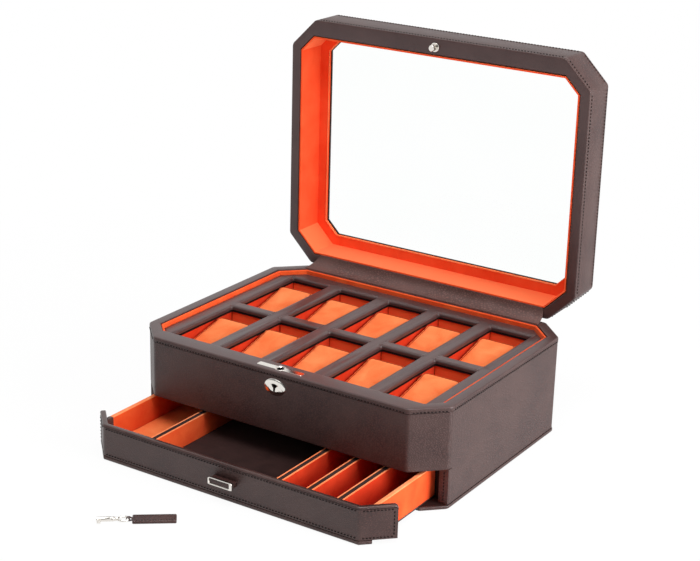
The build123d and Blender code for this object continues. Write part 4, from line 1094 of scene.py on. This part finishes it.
def escutcheon():
    """Domed oval plate with the keyhole through it."""
    low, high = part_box("escutcheon")
    middle_z = (low.z + high.z) / 2
    rise = high.y - low.y
    half_x, half_z = (high.x - low.x) / 2, (high.z - low.z) / 2

    def facing(x, z, up):
        return Vector((x, high.y - rise * up, middle_z + z))

    hole_radius, slot_half = 3.0 * MM, 1.3 * MM
    hole_z, slot_z = 2.4 * MM, -5.1 * MM
    half_angle = degrees(asin(slot_half / hole_radius))
    keyhole = []
    for step in range(25):
        angle = radians(-90 + half_angle + (360 - 2 * half_angle) * step / 24)
        keyhole.append((hole_radius * cos(angle), hole_z + hole_radius * sin(angle)))
    keyhole += [(-slot_half, slot_z + 0.4 * MM), (-slot_half * 0.6, slot_z), (slot_half * 0.6, slot_z),
                (slot_half, slot_z + 0.4 * MM)]
    mesh = bmesh.new()
    dome = [(1.0, 0.0), (1.0, 0.22), (0.975, 0.4), (0.9, 0.58), (0.79, 0.74), (0.67, 0.86), (0.55, 0.94),
            (0.45, 0.98)]
    around = circle(1.0, 64)
    loops = [[facing(half_x * share * x, half_z * share * z, up) for x, z in around] for share, up in dome]
    rows = sweep(mesh, loops, tube=False)
    hole_rows = sweep(mesh, [[facing(*p, up) for p in keyhole] for up in (0.8, 0.0)], tube=False)
    # The keyhole's walls take the near-black steel: painted shade inside the hole.
    mesh.faces.ensure_lookup_table()
    for face in mesh.faces[-len(keyhole):]:
        face.material_index = 1
    for outer, inner in ((rows[-1], hole_rows[0]), (rows[0], hole_rows[1])):
        fill(mesh, border(mesh, outer) + border(mesh, inner))
    make_piece("keyhole_escutcheon", mesh, NICKEL, "casing", sharp=30, extra_materials=(SHADE_DARK_STEEL,),
               stands_for="escutcheon")


escutcheon()


def circle_centre(a, b, c):
    """Centre of the circle through three points."""
    ab, ac = b - a, c - a
    cross = 2 * ab.cross(ac)
    return a + Vector((ac.y * ab.length_squared - ab.y * ac.length_squared,
                       ab.x * ac.length_squared - ac.x * ab.length_squared)) / cross


def hinge_strip():
    """Soft leather over the hinges, from behind the rim to behind the lid's lining."""
    low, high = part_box("hinge_leather")
    left, right = -140.2 * MM, 138 * MM
    left_taper, right_taper, taper_start = 13 * MM, 20 * MM, 0.55
    bulge, ripple, thickness = 3.6 * MM, 0.8 * MM, 0.8 * MM
    tuck_y = low.y + 0.4 * MM
    start = Vector((tuck_y, RIM + 0.9 * MM))
    end = Vector((HINGE.y + LID_BOTTOM - HINGE.z - 0.9 * MM, high.z - 0.4 * MM))
    chord = end - start
    middle = start + chord / 2 + Vector((chord.y, -chord.x)).normalized() * bulge
    centre = circle_centre(start, middle, end)
    first = start - centre
    sweep_angle = first.angle_signed(end - centre) * -1
    parts = 14
    path = [Vector((tuck_y, low.z + 0.2 * MM)), Vector((tuck_y, RIM))]
    path += [centre + Matrix.Rotation(sweep_angle * part / parts, 2) @ first for part in range(parts + 1)]
    path += [end + Vector((0.9 * MM, 0)), Vector((high.y - 0.3 * MM, end.y))]
    length = sum((b - a).length for a, b in zip(path, path[1:]))
    columns = 150
    grid = []
    travelled = 0.0
    for row, point in enumerate(path):
        if row:
            travelled += (point - path[row - 1]).length
        share = travelled / length
        here_left = left + left_taper * share ** 1.5
        here_right = right - right_taper * max(0.0, share - taper_start) ** 2
        loose = sin(pi * min(1.0, max(0.0, (share - 0.1) / 0.8)))
        ahead = path[min(row + 1, len(path) - 1)] - path[max(row - 1, 0)]
        normal = Vector((ahead.y, -ahead.x)).normalized()
        line = []
        for column in range(columns + 1):
            x = here_left + (here_right - here_left) * column / columns
            wave = noise.noise(Vector((x * 38, travelled * 60, 0.5))) * 0.9
            wave += noise.noise(Vector((x * 120, travelled * 150, 3.5))) * 0.35
            line.append((x, *(point + normal * wave * loose * ripple)))
        grid.append(line)
    mesh = bmesh.new()
    sweep(mesh, grid, closed=False, tube=False)
    piece = make_piece("hinge_strip", mesh, STRIP_LEATHER, None)
    thick = piece.modifiers.new("thick", "SOLIDIFY")
    thick.thickness = thickness
    thick.offset = 0.0
    baked(piece)
    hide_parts("hinge_leather")
    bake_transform(piece)


hinge_strip()

# Key and fob, drawn along the key's own X from its tip
KEY_ORIGIN = Vector((-66.7, -302.6, 0)) * MM
KEY_TURN = Matrix.Rotation(radians(38), 3, "Z")
BARREL_Z = 2.2 * MM


def by_key(point):
    """A point given along the key, on the table."""
    return KEY_ORIGIN + KEY_TURN @ Vector(point)


def tubular_key():
    """Hollow barrel turned with its collar, the bit, and the oval bow of round wire."""
    mesh = bmesh.new()
    turned = mm((0, 0), (8, 1.3), (0.25, 1.3), (0, 1.5), (0, 1.95), (0.25, 2.2), (12.2, 2.2), (12.4, 2.05),
                (12.9, 2.05), (13.1, 2.2), (14.6, 2.2), (15, 1.9), (18.3, 1.5), (18.3, 0.3), (8, 0.3))
    sweep(mesh, [[by_key((x, *point)) for point in circle(radius, 28, (0, BARREL_Z))] for x, radius in turned])
    bit = mm((0, 0), (0.25, 1.3), (0, 1.55), (0, 2.85), (0.25, 3.1))
    block(mesh, (2.3 * MM, -3.9 * MM), 1.7 * MM, 2.7 * MM, 0.35 * MM, bit, by_key)
    centre_x, half_x, half_y, wire = 23.25 * MM, 4.85 * MM, 4.0 * MM, 0.95 * MM
    loops = []
    for x, y in circle(1.0, 44):
        outward = Vector((x * half_y, y * half_x, 0)).normalized()
        spot = Vector((centre_x + half_x * x, half_y * y, BARREL_Z))
        loops.append([by_key(spot + outward * across + UP * up) for across, up in circle(wire, 14)])
    sweep(mesh, loops)
    make_piece("tubular_key", mesh, NICKEL, "key", sharp=40, stands_for="key")
    # A thin dark strip along the barrel: painted reflection of the dark side of the room, not a cut in the key.
    slot = bmesh.new()
    lean = Matrix.Rotation(radians(50), 3, "X")
    strip = mm((0, 0), (1.7, -0.22), (11.6, -0.22), (11.6, 0.22), (1.7, 0.22))
    prism(slot, strip, 1.9 * MM, 2.26 * MM, lambda p: by_key(lean @ Vector(p) + UP * BARREL_Z))
    make_piece("key_dark_reflection_strip", slot, SHADE_DARK_STEEL, "key")


tubular_key()


def fob():
    """Stitched leather fob, and the thong that ties it into the key's bow."""
    mesh, stitches = bmesh.new(), bmesh.new()
    low, high = 0.05 * MM, 2.9 * MM
    left, right, half = 31 * MM, 69.5 * MM, 6.5 * MM
    profile = mm((0, low), (0.5, 0), (0.05, 0.35), (0, 1.3), (0.22, 1.42), (0, 1.55))
    profile += mm((0, high), (0.05, -0.4), (0.35, -0.08), (1.2, 0), (2.6, 0.15))
    block(mesh, ((left + right) / 2, 0), (right - left) / 2, half, 1.3 * MM, profile, by_key)
    make_piece("fob_leather", mesh, LEATHER, "fob", sharp=50, stands_for="key_fob")
    edge = 1.7 * MM
    corners = [(left + edge, edge - half), (right - edge, edge - half), (right - edge, half - edge),
               (left + edge, half - edge)]
    for corner, after in zip(corners, corners[1:] + corners[:1]):
        start, end = Vector((*corner, high)), Vector((*after, high))
        along = (end - start).normalized() * 1.0 * MM
        sew(stitches, by_key(start + along), by_key(end - along), UP, 2.4 * MM, 1.7 * MM, 0.24 * MM)
    make_piece("fob_stitching", stitches, THREAD, "fob")
    thong = bmesh.new()
    path = [Vector((x, 0, z)) * MM for x, z in (
        (33, 1.2), (31, 0.9), (28.5, 0.45), (26.8, 0.5), (26.05, 1.3), (25.95, 2.2), (26.05, 3.1), (26.8, 3.85),
        (28.5, 3.9), (31, 2.6), (33, 1.9))]
    thick, wide = 0.4 * MM, 1.5 * MM
    loops = []
    for index, centre in enumerate(path):
        along = (path[min(index + 1, len(path) - 1)] - path[max(index - 1, 0)]).normalized()
        normal = Vector((-along.z, 0, along.x))
        loops.append([by_key(centre + normal * thick * up + Vector((0, wide * aside, 0)))
                      for aside, up in circle(1.0, 12)])
    sweep(thong, loops, tube=False)
    make_piece("fob_thong", thong, LEATHER, "fob", sharp=60, stands_for="key_thong")


fob()


def base_sheet():
    """Felt under the base, set in a little from its edge."""
    low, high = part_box("base_felt")
    inset = HALF_WIDTH - high.x
    corner_x = HALF_WIDTH - CORNER_LEG + low.y - FRONT - inset * (2 ** 0.5 - 1)
    course = [(-corner_x, low.y - inset), (corner_x, low.y - inset), *OCTAGON[2:]]
    profile = [(inset + 0.25 * MM, 0.0), (inset, 0.15 * MM), (inset, high.z + 0.04 * MM)]
    mesh = bmesh.new()
    solid(mesh, follow(course, profile))
    piece = make_piece("base_felt_sheet", mesh, FELT, "casing", sharp=60, stands_for="base_felt")


base_sheet()

# The stage: a white table under soft studio light, darker towards the camera's side of the room
WORLD_LIGHT = 0.4
DARK_END = 0.22
TABLE_GLOW = 0.94
TABLE_REACH = 9.0
SOFTBOXES = (
    ("side_softbox", (1.95, 0.1, 0.65), (1.2, 1.4), 52),
    ("top_softbox", (0.2, -0.5, 2.2), (1.4, 1.4), 31),
    ("front_fill", (-0.6, -2.0, 1.3), (1.0, 1.0), 3.5),
)


def white_rays(tree):
    """1 for rays that show the stage itself or mirror it, 0 for the rays that light things."""
    path = add_node(tree, "LightPath", output=None)
    seen = add_node(tree, "Math", {"operation": "MAXIMUM"}, {0: path["Is Camera Ray"], 1: path["Is Glossy Ray"]})
    return add_node(tree, "Math", {"operation": "MAXIMUM"}, {0: seen, 1: path["Is Transmission Ray"]})


def room():
    """White room for the rays that see it, and soft light that fades towards the front for the rest."""
    world = bpy.data.worlds.new("studio")
    scene.world = world
    world.use_nodes = True
    tree = world.node_tree
    tree.nodes.clear()
    strength = add_node(tree, "MapRange", {"To Min": WORLD_LIGHT, "To Max": 1.0}, {"Value": white_rays(tree)})
    direction = add_node(tree, "TexCoord", output="Generated")
    towards = add_node(tree, "SeparateXYZ", links={0: direction}, output="Y")
    fade = {"interpolation_type": "SMOOTHSTEP", "From Min": -0.9, "From Max": -0.1, "To Min": DARK_END}
    rear = add_node(tree, "MapRange", fade, {"Value": towards})
    seen = add_node(tree, "LightPath", output="Is Camera Ray")
    white = add_node(tree, "Math", {"operation": "MAXIMUM"}, {0: rear, 1: seen})
    light = add_node(tree, "Math", {"operation": "MULTIPLY"}, {0: strength, 1: white})
    sky = add_node(tree, "Background", {"Color": linear("#ffffff")}, {"Strength": light})
    add_node(tree, "OutputWorld", links={"Surface": sky}, output=None)


def softboxes():
    """The lamps, all turned to the middle of the box."""
    for name, place, size, power in SOFTBOXES:
        lamp = add_object(name, bpy.data.lights.new(name, "AREA"))
        lamp.data.shape = "RECTANGLE"
        lamp.data.size, lamp.data.size_y = size
        lamp.data.energy = power
        lamp.location = place
        lamp.rotation_euler = (Vector((0, 0, 0.1)) - Vector(place)).to_track_quat("-Z", "Y").to_euler()


def table():
    """Painted table top that takes the box's shadow, and turns plain white away from it."""
    material, tree, place = new_material("white_table")
    mottle = add_node(tree, "TexNoise", {"Scale": per_metre(60), "Detail": 3.0}, place)
    paint = add_node(tree, "BsdfDiffuse", links={"Color": mix_colour(tree, mottle, "#fbfbfb", "#ffffff")})
    glow = add_node(tree, "Emission", {"Color": linear("#ffffff"), "Strength": 1.0})
    away = add_node(tree, "VectorMath", {"operation": "LENGTH"}, {0: place["Vector"]}, output="Value")
    spread = {"From Min": 0.3, "From Max": 0.8, "To Min": TABLE_GLOW}
    open_table = add_node(tree, "MapRange", spread, {"Value": away})
    share = add_node(tree, "Math", {"operation": "MULTIPLY"}, {0: white_rays(tree), 1: open_table})
    both = add_node(tree, "MixShader", links={0: share, 1: paint, 2: glow})
    add_node(tree, "OutputMaterial", links={"Surface": both}, output=None)
    mesh = bmesh.new()
    corners = [(-TABLE_REACH, -TABLE_REACH), (TABLE_REACH, -TABLE_REACH), (TABLE_REACH, TABLE_REACH),
               (-TABLE_REACH, TABLE_REACH)]
    mesh.faces.new([mesh.verts.new((*corner, 0)) for corner in corners])
    data = bpy.data.meshes.new("table")
    mesh.to_mesh(data)
    mesh.free()
    data.materials.append(material)
    add_object("table", data)


room()
table()
softboxes()
scene.view_settings.view_transform = "Standard"
